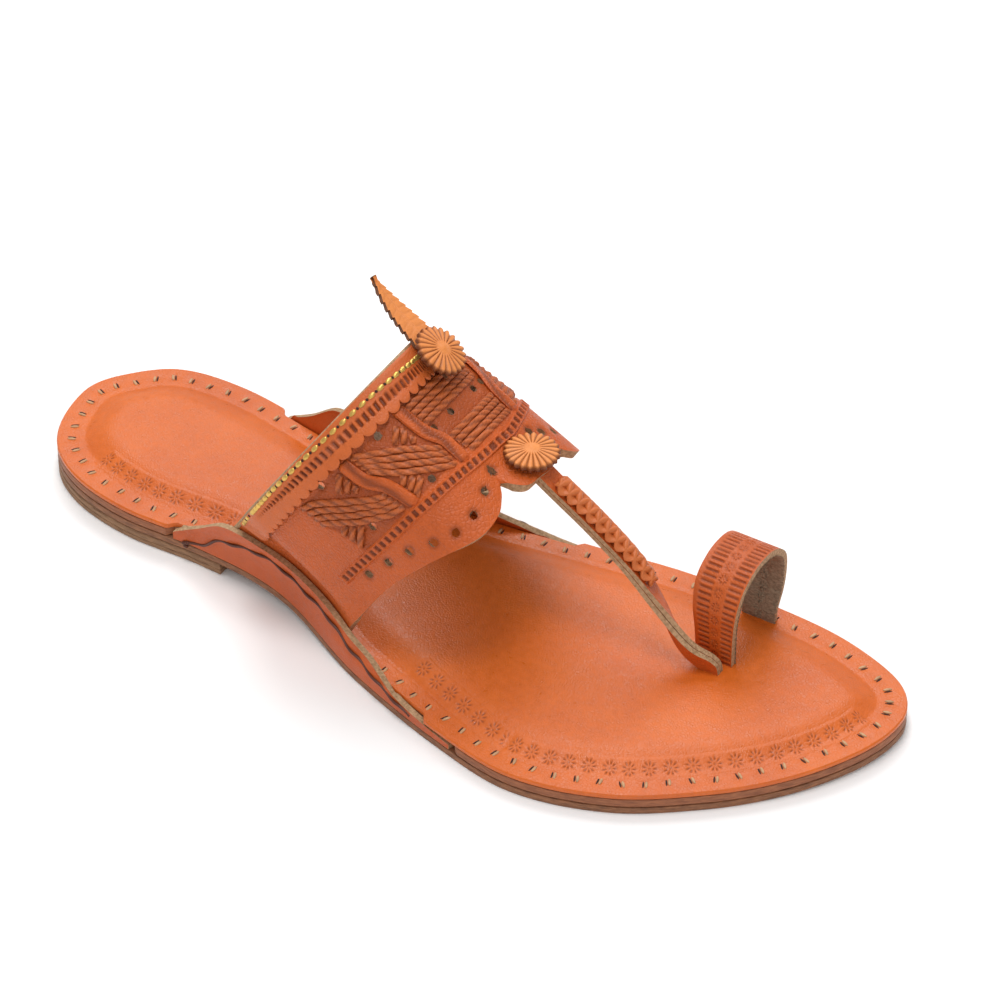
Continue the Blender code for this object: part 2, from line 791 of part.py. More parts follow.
def plait_height(distance, lane):
    """The height of a three-strand braid, lane from -1 to 1 across its width."""
    height = PLAIT_SIDE
    for index in range(STRANDS):
        phase = 2 * math.pi * (distance / PLAIT_PITCH + index / STRANDS)
        centre = (1 - STRAND_WIDTH) * math.sin(phase)
        crest = (1 + math.cos(2 * phase)) / 2
        bulge = 1 - min(abs(lane - centre) / STRAND_WIDTH, 1.0) ** 2
        height = max(height, bulge * mix(STRAND_LOW, 1, crest))
    return height


def add_plait(material, collection):
    """The braid that lies on top of the toe strap."""
    shares = spread(PLAIT_SPAN[0], PLAIT_SPAN[1], PLAIT_STEPS)
    length = sum(
        (strap_centre(b) - strap_centre(a)).length for a, b in zip(shares, shares[1:])
    )
    width_share = PLAIT_WIDTH / STRAP_WIDTH
    rings = []
    for index, share in enumerate(shares):
        distance = length * index / (len(shares) - 1)
        lanes = spread(-1, 1, PLAIT_LANES + 1)
        points = []
        for lane in lanes:
            height = PLAIT_RISE * plait_height(distance, lane)
            points.append(strap_point(share, lane * width_share, CLEARANCE + height))
        for lane in (1, -1):
            points.append(strap_point(share, lane * width_share, CLEARANCE))
        rings.append(points)
    return add_object("plait", loft(rings), material, collection)


# Trim on the band.


def add_rosette(name, seat, lift, material, collection):
    """A serrated, slightly domed leather disc seated on the band."""
    bm = bmesh.new()
    bmesh.ops.create_circle(
        bm, cap_ends=True, cap_tris=True, segments=2 * ROSETTE_TEETH, radius=ROSETTE_DIAMETER / 2
    )
    rim = sorted((v for v in bm.verts if v.co.length > MM), key=lambda v: math.atan2(v.co.y, v.co.x))
    for index, vert in enumerate(rim):
        vert.co *= 1 - (index % 2) * 2 * ROSETTE_TOOTH / ROSETTE_DIAMETER
    for vert in bm.verts:
        if vert.co.length < MM:
            vert.co.z = ROSETTE_DOME
    normal = band_normal(seat.turn, seat.reach)
    place = arch_point(seat.turn, seat.reach) + normal * lift
    turn = normal.to_track_quat("Z", "X").to_matrix().to_4x4()
    bm.transform(Matrix.Translation(place) @ turn)
    disc = add_object(name, bm, material, collection)
    skin = disc.modifiers.new("wall", "SOLIDIFY")
    skin.thickness = ROSETTE_WALL
    skin.offset = 1
    return disc


def add_feather(material, collection):
    """The serrated, pointed leaf that stands up behind the band."""
    seat = arch_point(REAR_ROSETTE.turn, REAR_ROSETTE.reach)
    normal = band_normal(REAR_ROSETTE.turn, REAR_ROSETTE.reach)
    seat += normal * (FEATHER_GAP + EDGE_STRIP_WALL + FEATHER_WALL)

    def surface(share, lane):
        back = path_value(FEATHER_ROWS, "back", share) * FEATHER_LENGTH
        side = path_value(FEATHER_ROWS, "side", share) * FEATHER_LENGTH
        up = path_value(FEATHER_ROWS, "up", share) * FEATHER_LENGTH
        tooth = FEATHER_TOOTH * (round(share * 2 * FEATHER_TEETH) % 2)
        half = path_value(FEATHER_ROWS, "width", share) * FEATHER_WIDTH / 2
        width = max(half - tooth * min(half / FEATHER_WIDTH * 4, 1), CLEARANCE)
        lean = Vector((0, 1, 0)) * width * lane
        return seat + Vector((-back, side, up)) + lean

    rows = spread(0, 1, 2 * FEATHER_TEETH + 1)
    return add_shell("feather", rows, [1, 0, -1], surface, FEATHER_WALL, material, collection)


# The toe loop and the slots in the insole.


def loop_centre(share):
    """The middle of the loop's outer face at a share of its length, and its width there."""
    x = LOOP_ALONG * SOLE_LENGTH + path_value(LOOP_ROWS, "shift", share) * LOOP_WIDTH
    y = LOOP_SIDE + path_value(LOOP_ROWS, "side", share) * LOOP_SPAN
    z = slot_floor(x) + path_value(LOOP_ROWS, "height", share) * LOOP_HEIGHT
    return Vector((x, y, z)), path_value(LOOP_ROWS, "width", share) * LOOP_WIDTH


def add_toe_loop(material, collection):
    """The wide leather hoop for the big toe."""

    def surface(share, lane):
        centre, width = loop_centre(share)
        return centre + Vector((lane * width / 2, 0, 0))

    lanes = spread(1, -1, LOOP_LANES)
    return add_shell(
        "toe_loop", spread(0, 1, LOOP_STEPS), lanes, surface, LOOP_WALL, material, collection
    )


def cut_slot(insole, name, centre, size, cutters):
    """Cut an upright slot of that size, with clearance all round, through the insole."""
    bm = bmesh.new()
    bmesh.ops.create_cube(bm, size=1)
    room = 2 * CLEARANCE
    scale = (size[0] + room, size[1] + room, SLOT_HEIGHT)
    bmesh.ops.scale(bm, vec=scale, verts=bm.verts)
    bmesh.ops.translate(bm, vec=centre, verts=bm.verts)
    cutter = add_object(name, bm, None, cutters)
    hide_cutter(cutter)
    cut = insole.modifiers.new(name, "BOOLEAN")
    cut.operation = "DIFFERENCE"
    cut.solver = "EXACT"
    cut.object = cutter


def hide_cutter(piece):
    """Show a helper solid as wires only."""
    piece.hide_render = True
    piece.display_type = "WIRE"


def cut_insole_slots(insole, cutters):
    """The slots that the strap and the loop's two legs go down through."""
    for name, share, inward in (("lateral_slot", 0.0, MEDIAL), ("medial_slot", 1.0, LATERAL)):
        centre, width = loop_centre(share)
        centre.y += inward * LOOP_WALL / 2
        cut_slot(insole, name, centre, (width, LOOP_WALL), cutters)
    foot = strap_ends()[1]
    foot.y -= STRAP_WALL / 2
    cut_slot(insole, "strap_slot", foot, (STRAP_END_WIDTH, STRAP_WALL), cutters)


def build():
    """Make the whole shoe."""
    clear_scene()
    shoe = new_collection("kolhapuri_chappal")
    cutters = new_collection("cutters")

    lift_leather = leather("stacked_heel_leather", 140, 97, 65, 0.75)
    sole_leather = leather("sole_leather", 139, 84, 54, 0.70)
    midsole_leather = leather("midsole_leather", 150, 88, 60, 0.65)
    insole_leather = leather("insole_leather", 226, 126, 66, 0.45)
    flap_leather = leather("flap_leather", 190, 92, 48, 0.50)
    band_leather = leather("band_leather", 180, 85, 45, 0.50)
    strip_leather = leather("strip_leather", 205, 112, 66, 0.50)
    trim_leather = leather("trim_leather", 238, 158, 92, 0.45)
    plait_leather = leather("plait_leather", 200, 110, 66, 0.50)
    loop_leather = leather("loop_leather", 178, 86, 48, 0.45)

    add_heel_lift(lift_leather, shoe)
    add_layer("outsole", 0, OUTSOLE_THICKNESS, None, sole_leather, shoe)
    midsole_top = MIDSOLE_BOTTOM + MIDSOLE_THICKNESS
    span = recess_span(MIDSOLE_BOTTOM)
    add_layer("midsole", MIDSOLE_BOTTOM, midsole_top, span, midsole_leather, shoe)
    insole = add_insole(insole_leather, shoe)
    cut_insole_slots(insole, cutters)
    add_flap("flap_lateral", LATERAL, flap_leather, shoe)
    add_flap("flap_medial", MEDIAL, flap_leather, shoe)

    upper = add_band(band_leather, shoe)
    strap = add_toe_strap(cutters)
    hide_cutter(strap)
    join = upper.modifiers.new("join_strap", "BOOLEAN")
    join.operation = "UNION"
    join.solver = "EXACT"
    join.object = strap

    add_edge_strip(strip_leather, shoe)
    add_plait(plait_leather, shoe)
    stack = FEATHER_GAP + EDGE_STRIP_WALL + FEATHER_WALL + ROSETTE_GAP
    add_rosette("rosette_rear", REAR_ROSETTE, stack, trim_leather, shoe)
    add_rosette("rosette_front", FRONT_ROSETTE, CORD_RISE + ROSETTE_GAP, trim_leather, shoe)
    add_feather(trim_leather, shoe)
    add_toe_loop(loop_leather, shoe)


build()
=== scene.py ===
import math
import random
from collections import namedtuple

import bmesh
import bpy
import numpy as np
from mathutils import Matrix, Vector


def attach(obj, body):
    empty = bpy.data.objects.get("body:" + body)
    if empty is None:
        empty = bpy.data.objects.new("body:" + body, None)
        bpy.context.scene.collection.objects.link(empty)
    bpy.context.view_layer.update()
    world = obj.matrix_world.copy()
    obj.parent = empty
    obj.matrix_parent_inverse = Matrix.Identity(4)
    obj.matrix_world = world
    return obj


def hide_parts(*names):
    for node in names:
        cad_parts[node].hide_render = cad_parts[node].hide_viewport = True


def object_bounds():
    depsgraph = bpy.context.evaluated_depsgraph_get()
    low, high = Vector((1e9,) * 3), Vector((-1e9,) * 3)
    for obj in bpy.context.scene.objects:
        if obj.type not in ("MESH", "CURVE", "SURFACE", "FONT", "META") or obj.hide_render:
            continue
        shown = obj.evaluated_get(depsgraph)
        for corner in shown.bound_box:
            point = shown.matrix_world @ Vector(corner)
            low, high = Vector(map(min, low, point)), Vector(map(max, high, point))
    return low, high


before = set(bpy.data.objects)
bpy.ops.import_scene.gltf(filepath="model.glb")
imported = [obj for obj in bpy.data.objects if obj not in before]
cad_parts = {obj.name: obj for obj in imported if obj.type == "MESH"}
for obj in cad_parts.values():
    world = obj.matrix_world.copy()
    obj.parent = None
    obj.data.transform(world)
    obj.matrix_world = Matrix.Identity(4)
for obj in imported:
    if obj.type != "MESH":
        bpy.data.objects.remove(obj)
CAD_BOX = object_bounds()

# The right-foot kolhapuri chappal, dressed. X runs from the heel to the toes, +Y is the big-toe side
# and Z is up. Lengths are in metres. The functions work in the shoe's own frame, whose x starts at the
# back of the heel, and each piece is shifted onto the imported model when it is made.

MM = 0.001

# Sizes of the shoe's forms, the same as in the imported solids.
SOLE_LENGTH = 265 * MM
BALL_WIDTH = 95 * MM
INSTEP_HEIGHT = 81 * MM
HEEL_CENTRE = 32 * MM
HEEL_RISE = 3.8 * MM
OUTSOLE_THICKNESS = 2.2 * MM
MIDSOLE_THICKNESS = 2.6 * MM
INSOLE_THICKNESS = 1.2 * MM
PILLOW_RISE = 2.6 * MM
TOE_SPRING = 0.8 * MM
CLEARANCE = 0.3 * MM
INSOLE_MARGIN = 8 * MM
PILLOW_SLOPE = 9 * MM
LIFT_LENGTH = 72 * MM
BAND_WALL = 2.6 * MM
CORD_RISE = 0.9 * MM
TONGUE_LIFT = 3.6 * MM
FLAP_HEIGHT = 14.5 * MM
FLAP_WALL = 1.8 * MM
STRAP_WALL = 2.9 * MM
STRAP_WIDTH = 6.2 * MM
STRAP_END_WIDTH = 5.6 * MM
PLAIT_RISE = 2.3 * MM
PLAIT_WIDTH = 5.6 * MM
EDGE_STRIP_WALL = 1.2 * MM
SCALLOP_DEPTH = 1.1 * MM
ROSETTE_DIAMETER = 15.5 * MM
ROSETTE_TEETH = 22
FEATHER_WALL = 1.3 * MM
FEATHER_WIDTH = 8.4 * MM
FEATHER_TOOTH = 0.7 * MM
FEATHER_TEETH = 13
FEATHER_GAP = 3.5 * CLEARANCE
FEATHER_LENGTH = 27 * MM
LOOP_WALL = 2.0 * MM
LOOP_WIDTH = 14.5 * MM
LOOP_SPAN = 30 * MM
LOOP_HEIGHT = 30.8 * MM
LOOP_ALONG = 0.792
LOOP_SIDE = -4.4 * MM

MIDSOLE_BOTTOM = OUTSOLE_THICKNESS + CLEARANCE
INSOLE_BOTTOM = MIDSOLE_BOTTOM + MIDSOLE_THICKNESS + CLEARANCE
INSOLE_TOP = INSOLE_BOTTOM + INSOLE_THICKNESS
LIFT_TOP = HEEL_RISE - CLEARANCE

LATERAL = -1
MEDIAL = 1

# The sole's outline: place along the sole, and the width on each side of the foot's axis.
SoleRow = namedtuple("SoleRow", "along medial lateral")
SOLE_ROWS = (
    SoleRow(0.00, 0.010, -0.010),
    SoleRow(0.02, 0.138, 0.206),
    SoleRow(0.07, 0.254, 0.322),
    SoleRow(0.15, 0.278, 0.377),
    SoleRow(0.25, 0.234, 0.376),
    SoleRow(0.36, 0.171, 0.412),
    SoleRow(0.48, 0.195, 0.559),
    SoleRow(0.60, 0.239, 0.671),
    SoleRow(0.70, 0.277, 0.723),
    SoleRow(0.80, 0.281, 0.654),
    SoleRow(0.88, 0.265, 0.505),
    SoleRow(0.94, 0.217, 0.341),
    SoleRow(0.98, 0.151, 0.173),
    SoleRow(1.00, 0.030, -0.030),
)
ARCH_SPAN = (0.27, 0.50)
TOE_SPAN = (0.90, 1.00)

# Side flaps: place along the sole, height above the flap's foot, and lean outwards at the top.
FlapRow = namedtuple("FlapRow", "along top lean")
FLAP_ROWS = (
    FlapRow(0.212, 0.17, 0.00),
    FlapRow(0.245, 0.54, 0.04),
    FlapRow(0.281, 0.98, 0.14),
    FlapRow(0.331, 1.00, 0.14),
    FlapRow(0.377, 0.94, 0.05),
    FlapRow(0.430, 0.83, -0.06),
    FlapRow(0.467, 0.63, -0.10),
    FlapRow(0.498, 0.52, -0.10),
    FlapRow(0.542, 0.28, 0.00),
    FlapRow(0.587, 0.16, 0.00),
    FlapRow(0.622, 0.11, 0.00),
)

# The band's sections at its rear edge and at the notches of its front edge.
BandRow = namedtuple(
    "BandRow",
    "along base_height centre_height crown centre_side lateral medial slant squareness",
)
BAND_REAR = BandRow(0.298, 0.266, 0.502, 0.498, -0.102, 0.380, 0.323, 0.65, 2.05)
BAND_FRONT = BandRow(0.468, 0.118, 0.209, 0.505, -0.147, 0.357, 0.357, 0.63, 3.68)
WALL_TURN = 40
ARCH_TURN = 180
LATERAL_NOTCH = 87
MEDIAL_NOTCH = 103.5
BAND_MIDDLE_TURN = 95.25

# The front edge: reach is 0 at the rear edge and 1 at the line of the notches.
EdgeRow = namedtuple("EdgeRow", "turn reach")
LATERAL_LOBE = (
    EdgeRow(-40, 0.93),
    EdgeRow(0, 0.93),
    EdgeRow(11, 0.94),
    EdgeRow(31, 1.01),
    EdgeRow(54, 1.095),
    EdgeRow(68, 1.125),
    EdgeRow(80, 1.105),
    EdgeRow(85, 1.045),
    EdgeRow(LATERAL_NOTCH, 0.985),
)
TONGUE = (
    EdgeRow(LATERAL_NOTCH, 0.985),
    EdgeRow(88.2, 1.06),
    EdgeRow(89.3, 1.11),
    EdgeRow(90.4, 1.135),
    EdgeRow(92, 1.145),
    EdgeRow(94.5, 1.135),
    EdgeRow(98.5, 1.08),
    EdgeRow(MEDIAL_NOTCH, 0.995),
)
MEDIAL_LOBE = (
    EdgeRow(MEDIAL_NOTCH, 0.995),
    EdgeRow(105.5, 1.055),
    EdgeRow(110, 1.135),
    EdgeRow(120, 1.195),
    EdgeRow(137, 1.19),
    EdgeRow(160, 1.115),
    EdgeRow(176, 1.025),
    EdgeRow(184, 0.99),
    EdgeRow(220, 0.99),
)
TONGUE_START = 0.90
MIDDLE_REACH = 0.60
REAR_ROSETTE = EdgeRow(96, 0.16)
FRONT_ROSETTE = EdgeRow(92, 1.02)
STRIP_REACH = 0.175
STRIP_TURNS = (-21, 201)

# The toe strap: place between its ends, height and roll in degrees from lying flat to standing.
StrapRow = namedtuple("StrapRow", "along side height roll")
STRAP_ROWS = (
    StrapRow(0.00, 0.00, 1.03, 0),
    StrapRow(0.12, -0.05, 0.95, 0),
    StrapRow(0.35, -0.05, 0.795, 0),
    StrapRow(0.56, 0.10, 0.615, 8),
    StrapRow(0.73, 0.15, 0.420, 30),
    StrapRow(0.88, 0.28, 0.215, 68),
    StrapRow(0.98, 0.82, 0.125, 88),
    StrapRow(1.00, 1.00, 0.085, 90),
    StrapRow(1.00, 1.00, 0.000, 90),
)
STRAP_ROOT = EdgeRow(91.5, 1.08)
STRAP_ROOT_DEPTH = 1.5 * MM
STRAP_SLOT_ALONG = 0.802
STRAP_GAP = 2 * MM
PLAIT_SPAN = (0.115, 0.44)

# The toe loop as seen from the toes.
LoopRow = namedtuple("LoopRow", "side height shift width")
LOOP_ROWS = (
    LoopRow(0.00, 0.00, 0.10, 0.76),
    LoopRow(0.00, 0.15, 0.10, 0.76),
    LoopRow(0.00, 0.42, 0.08, 0.80),
    LoopRow(0.02, 0.67, 0.05, 0.90),
    LoopRow(0.14, 0.87, 0.01, 0.98),
    LoopRow(0.36, 0.985, 0.00, 1.00),
    LoopRow(0.59, 1.00, 0.00, 1.00),
    LoopRow(0.80, 0.93, 0.00, 1.00),
    LoopRow(0.96, 0.77, 0.02, 0.96),
    LoopRow(1.00, 0.57, 0.05, 0.88),
    LoopRow(0.96, 0.36, 0.10, 0.78),
    LoopRow(0.88, 0.15, 0.12, 0.70),
    LoopRow(0.88, 0.00, 0.12, 0.70),
)

# The feather, as shares of its length from the rear rosette's seat.
FeatherRow = namedtuple("FeatherRow", "back side up width")
FEATHER_ROWS = (
    FeatherRow(-0.19, -0.01, -0.115, 0.80),
    FeatherRow(0.00, 0.01, 0.000, 0.95),
    FeatherRow(0.21, 0.04, 0.125, 1.00),
    FeatherRow(0.39, 0.07, 0.215, 0.90),
    FeatherRow(0.55, 0.09, 0.310, 0.72),
    FeatherRow(0.70, 0.11, 0.425, 0.45),
    FeatherRow(0.83, 0.13, 0.550, 0.06),
)

# Small steps by which a curve's direction is read.
ANGLE_STEP = 0.01
TURN_STEP = 1.0
REACH_STEP = 0.02
STRAP_STEP = 0.004
MEASURING_STEPS = 300


# Curves.


def mix(start, end, share):
    """The value that share of the way from start to end."""
    return start + (end - start) * share


def ease(share):
    """Rise from 0 to 1 with flat ends, and hold outside them."""
    share = min(max(share, 0.0), 1.0)
    return share * share * (3 - 2 * share)


def smooth(places, values, at):
    """The height at a place of the smooth curve through the given points."""
    if at <= places[0]:
        return values[0]
    if at >= places[-1]:
        return values[-1]
    index = max(i for i, place in enumerate(places[:-1]) if place <= at)

    def slope(i):
        low = max(i - 1, 0)
        high = min(i + 1, len(places) - 1)
        return (values[high] - values[low]) / (places[high] - places[low])

    width = places[index + 1] - places[index]
    share = (at - places[index]) / width
    enter = slope(index) * width * share * (1 - share) ** 2
    leave = slope(index + 1) * width * share * share * (1 - share)
    return mix(values[index], values[index + 1], ease(share)) + enter - leave


def column(rows, name):
    """One column of a table."""
    return [getattr(row, name) for row in rows]


def path_value(rows, name, share):
    """The smooth value of a column, with the table's rows evenly spaced from 0 to 1."""
    places = [i / (len(rows) - 1) for i in range(len(rows))]
    return smooth(places, column(rows, name), share)


def spread(start, end, count):
    """Evenly spaced values from start to end, both counted."""
    return [mix(start, end, i / (count - 1)) for i in range(count)]


# The sole.

OUTLINE_ANGLES = [math.acos(1 - 2 * row.along) for row in SOLE_ROWS]


def outline_point(angle):
    """The outline's point at an angle: 0 at the heel, half a turn at the toe, lateral side first."""
    angle %= 2 * math.pi
    side = LATERAL if angle <= math.pi else MEDIAL
    turn = angle if side == LATERAL else 2 * math.pi - angle
    name = "lateral" if side == LATERAL else "medial"
    half = smooth(OUTLINE_ANGLES, column(SOLE_ROWS, name), turn)
    return Vector((SOLE_LENGTH * (1 - math.cos(turn)) / 2, side * half * BALL_WIDTH))


def edge_point(angle, inset):
    """A point that lies the inset inside the outline, square to it."""
    run = outline_point(angle + ANGLE_STEP) - outline_point(angle - ANGLE_STEP)
    inward = Vector((-run.y, run.x)).normalized()
    return outline_point(angle) + inward * inset


def side_offset(x, side, inset):
    """The y of a line that runs the inset inside the outline, at a place along the sole."""
    angle = math.acos(1 - 2 * x / SOLE_LENGTH)
    angle = angle if side == LATERAL else 2 * math.pi - angle
    run = outline_point(angle + ANGLE_STEP) - outline_point(angle - ANGLE_STEP)
    slant = math.hypot(run.x, run.y) / abs(run.x)
    return outline_point(angle).y - side * inset * slant


def rise(x):
    """How high the sole's layers are lifted at a place along the sole."""
    share = x / SOLE_LENGTH
    arch = 1 - ease((share - ARCH_SPAN[0]) / (ARCH_SPAN[1] - ARCH_SPAN[0]))
    toe = ease((share - TOE_SPAN[0]) / (TOE_SPAN[1] - TOE_SPAN[0]))
    return HEEL_RISE * arch + TOE_SPRING * toe


def flap_top(x):
    """The level of a side flap's top edge, which stays low past its two ends."""
    height = smooth(column(FLAP_ROWS, "along"), column(FLAP_ROWS, "top"), x / SOLE_LENGTH)
    return rise(x) + MIDSOLE_BOTTOM + height * FLAP_HEIGHT


def flap_lean(x, z):
    """How far a side flap leans outwards at a level above the insole's edge."""
    level = rise(x) + INSOLE_TOP
    top = flap_top(x)
    if z <= level or top <= level:
        return 0.0
    lean = smooth(column(FLAP_ROWS, "along"), column(FLAP_ROWS, "lean"), x / SOLE_LENGTH)
    return lean * FLAP_HEIGHT * ease(min((z - level) / (top - level), 1.0))


def flap_point(side, x, height):
    """A point of a side flap's outer face at a share of its height."""
    z = mix(rise(x) + MIDSOLE_BOTTOM, flap_top(x), height)
    return Vector((x, side_offset(x, side, -flap_lean(x, z)), z))


# The instep band.


def band_row(reach):
    """The band's cross section at a reach."""
    return BandRow(*[mix(rear, front, reach) for rear, front in zip(BAND_REAR, BAND_FRONT)])


def tongue_lift(turn, reach):
    """How far the tongue between the notches rises off the arch."""
    if not LATERAL_NOTCH < turn < MEDIAL_NOTCH:
        return 0.0
    tip = max(column(TONGUE, "reach"))
    return TONGUE_LIFT * ease((reach - TONGUE_START) / (tip - TONGUE_START))


def arch_point(turn, reach):
    """A point of the band's outer face: turn in degrees round the arch, 90 at the crown."""
    row = band_row(reach)
    centre = row.centre_height * INSTEP_HEIGHT
    crown = row.crown * INSTEP_HEIGHT
    side = LATERAL if turn < (ARCH_TURN / 2) else MEDIAL
    half = (row.lateral if side == LATERAL else row.medial) * BALL_WIDTH
    power = 2 / row.squareness
    middle = row.centre_side * BALL_WIDTH

    def along(z):
        return row.along * SOLE_LENGTH + row.slant * (z - row.base_height * INSTEP_HEIGHT)

    if 0 <= turn <= ARCH_TURN:
        angle = math.radians(turn)
        z = centre + crown * math.sin(angle) ** power + tongue_lift(turn, reach)
        y = middle + side * half * abs(math.cos(angle)) ** power
        return Vector((along(z), y, z))
    fall = -turn / WALL_TURN if turn < 0 else (turn - ARCH_TURN) / WALL_TURN
    foot_x = along(INSOLE_TOP + HEEL_RISE)
    foot = rise(foot_x) + INSOLE_TOP + 2 * CLEARANCE
    z = mix(centre, foot, fall)
    x = along(z)
    drop = (centre - z) / crown
    y = middle + side * half * max(1 - drop**row.squareness, 0.0) ** (1 / row.squareness)
    inside = side_offset(x, side, FLAP_WALL + CLEARANCE - flap_lean(x, z))
    brim = flap_top(x) + FLAP_WALL
    share = 1.0 if z <= brim else ease((centre - z) / (centre - brim))
    return Vector((x, mix(y, inside, share), z))


def band_normal(turn, reach):
    """The direction square to the band's outer face, pointing out."""
    round_run = arch_point(turn + TURN_STEP, reach) - arch_point(turn - TURN_STEP, reach)
    front_run = arch_point(turn, reach + REACH_STEP) - arch_point(turn, reach - REACH_STEP)
    return front_run.cross(round_run).normalized()


def front_reach(turn):
    """The reach of the band's front edge at a turn."""
    for rows in (LATERAL_LOBE, TONGUE, MEDIAL_LOBE):
        if turn <= rows[-1].turn:
            return smooth(column(rows, "turn"), column(rows, "reach"), turn)
    return MEDIAL_LOBE[-1].reach


FINE_TURNS = spread(-WALL_TURN, ARCH_TURN + WALL_TURN, MEASURING_STEPS)
FINE_POINTS = [arch_point(turn, MIDDLE_REACH) for turn in FINE_TURNS]
ARCH_LENGTHS = np.cumsum(
    [0.0] + [(b - a).length for a, b in zip(FINE_POINTS, FINE_POINTS[1:])]
)


def length_at(turn):
    """The length round the band's middle line from its lateral foot to a turn."""
    return float(np.interp(turn, FINE_TURNS, ARCH_LENGTHS))


def turn_at(length):
    """The turn at a length round the band's middle line."""
    return float(np.interp(length, ARCH_LENGTHS, FINE_TURNS))


# The toe strap and the toe loop.


def slot_floor(x):
    """The level on which the legs and the strap stand inside the insole's slots."""
    return rise(x) + INSOLE_BOTTOM


def strap_ends():
    """Where the strap's top face starts under the tongue and where it ends in its slot."""
    root = arch_point(STRAP_ROOT.turn, STRAP_ROOT.reach)
    root -= band_normal(STRAP_ROOT.turn, STRAP_ROOT.reach) * STRAP_ROOT_DEPTH
    x = STRAP_SLOT_ALONG * SOLE_LENGTH
    return root, Vector((x, LOOP_SIDE - STRAP_GAP, slot_floor(x)))


def strap_centre(share):
    """The middle of the strap's top face at a share of its length."""
    root, foot = strap_ends()
    x = mix(root.x, foot.x, path_value(STRAP_ROWS, "along", share))
    y = mix(root.y, foot.y, path_value(STRAP_ROWS, "side", share))
    z = mix(foot.z, root.z, path_value(STRAP_ROWS, "height", share))
    return Vector((x, y, z))


def strap_point(share, lane, lift):
    """A point above the strap's top face, lane from -1 to 1 across its width."""
    run = strap_centre(min(share + STRAP_STEP, 1.0)) - strap_centre(max(share - STRAP_STEP, 0.0))
    run.normalize()
    roll = math.radians(path_value(STRAP_ROWS, "roll", share))
    level = Vector((0, 1, 0))
    level = (level - run * level.dot(run)).normalized()
    flat = run.cross(level)
    flat *= math.copysign(1, flat.z)
    out = (flat * math.cos(roll) + level * math.sin(roll)).normalized()
    across = run.cross(out).normalized()
    half = mix(STRAP_WIDTH, STRAP_END_WIDTH, ease(share)) / 2
    return strap_centre(share) + across * half * lane + out * lift


def loop_point(share, lane):
    """A point of the toe loop's outer face, lane from -0.5 to 0.5 across its width."""
    width = path_value(LOOP_ROWS, "width", share) * LOOP_WIDTH
    x = LOOP_ALONG * SOLE_LENGTH + path_value(LOOP_ROWS, "shift", share) * LOOP_WIDTH
    y = LOOP_SIDE + path_value(LOOP_ROWS, "side", share) * LOOP_SPAN
    z = slot_floor(x) + path_value(LOOP_ROWS, "height", share) * LOOP_HEIGHT
    return Vector((x + lane * width, y, z))


# Making pieces.


def grid_of(columns, rows, surface):
    """The points of a surface on a grid, as an array of columns, rows and coordinates."""
    return np.array([[surface(c, r) for r in rows] for c in columns], float)


def normals_of(points):
    """The direction square to a grid of points, at each of them."""
    across = np.gradient(points, axis=0)
    along = np.gradient(points, axis=1)
    normal = np.cross(across, along)
    return normal / np.maximum(np.linalg.norm(normal, axis=2, keepdims=True), 1e-12)


def select_only(piece):
    """Make one object the selected and active one."""
    bpy.ops.object.select_all(action="DESELECT")
    piece.select_set(True)
    bpy.context.view_layer.objects.active = piece


def sheet_piece(name, points):
    """A grid primitive whose points are moved to the given places."""
    bpy.ops.object.select_all(action="DESELECT")
    columns, rows = points.shape[:2]
    bpy.ops.mesh.primitive_grid_add(x_subdivisions=columns - 1, y_subdivisions=rows - 1, size=1)
    piece = bpy.context.object
    piece.name = name
    piece.data.name = name
    places = points.transpose(1, 0, 2) - np.array([HEEL_CENTRE, 0, 0])
    piece.data.vertices.foreach_set("co", places.ravel())
    piece.data.update()
    return piece


def tube_piece(name, points, shades=None):
    """A closed tube through rings of points: columns run along it and rows go round it."""
    wrapped = np.concatenate([points, points[:, :1]], axis=1)
    piece = sheet_piece(name, wrapped)
    # Shades, when given, are painted shade in the tube's hollows, kept per point.
    if shades is not None:
        mark(piece, "hollow", np.concatenate([shades, shades[:, :1]], axis=1))
    bpy.ops.object.mode_set(mode="EDIT")
    bpy.ops.mesh.select_all(action="SELECT")
    bpy.ops.mesh.remove_doubles(threshold=1e-6)
    bpy.ops.mesh.fill_holes(sides=0)
    bpy.ops.mesh.select_all(action="SELECT")
    bpy.ops.mesh.normals_make_consistent(inside=False)
    bpy.ops.object.mode_set(mode="OBJECT")
    return piece


def mark(piece, name, values):
    """Store a number at each point of a grid piece, as an attribute."""
    attribute = piece.data.attributes.new(name, "FLOAT", "POINT")
    attribute.data.foreach_set("value", np.ascontiguousarray(values.T, np.float32).ravel())


def join(name, pieces):
    """Join several objects into one."""
    bpy.ops.object.select_all(action="DESELECT")
    for piece in pieces:
        piece.select_set(True)
    bpy.context.view_layer.objects.active = pieces[0]
    bpy.ops.object.join()
    pieces[0].name = name
    pieces[0].data.name = name
    return pieces[0]


def modify(piece, kind, **settings):
    """Add a modifier with its settings and apply it."""
    select_only(piece)
    modifier = piece.modifiers.new(kind.lower(), kind)
    for key, value in settings.items():
        setattr(modifier, key, value)
    bpy.ops.object.modifier_apply(modifier=modifier.name)


def give_materials(piece, materials):
    """Put the materials in a piece's slots."""
    for material in materials:
        piece.data.materials.append(material)


def make_wall(piece, thickness, materials, inside=0, rim=0):
    """Give a sheet its thickness inwards, with its inside and its cut rim in their own materials.

    Inside and rim are the places of those materials in the list.
    """
    piece.data.materials.clear()
    give_materials(piece, materials)
    modify(
        piece, "SOLIDIFY", thickness=thickness, offset=-1, material_offset=inside,
        material_offset_rim=rim,
    )


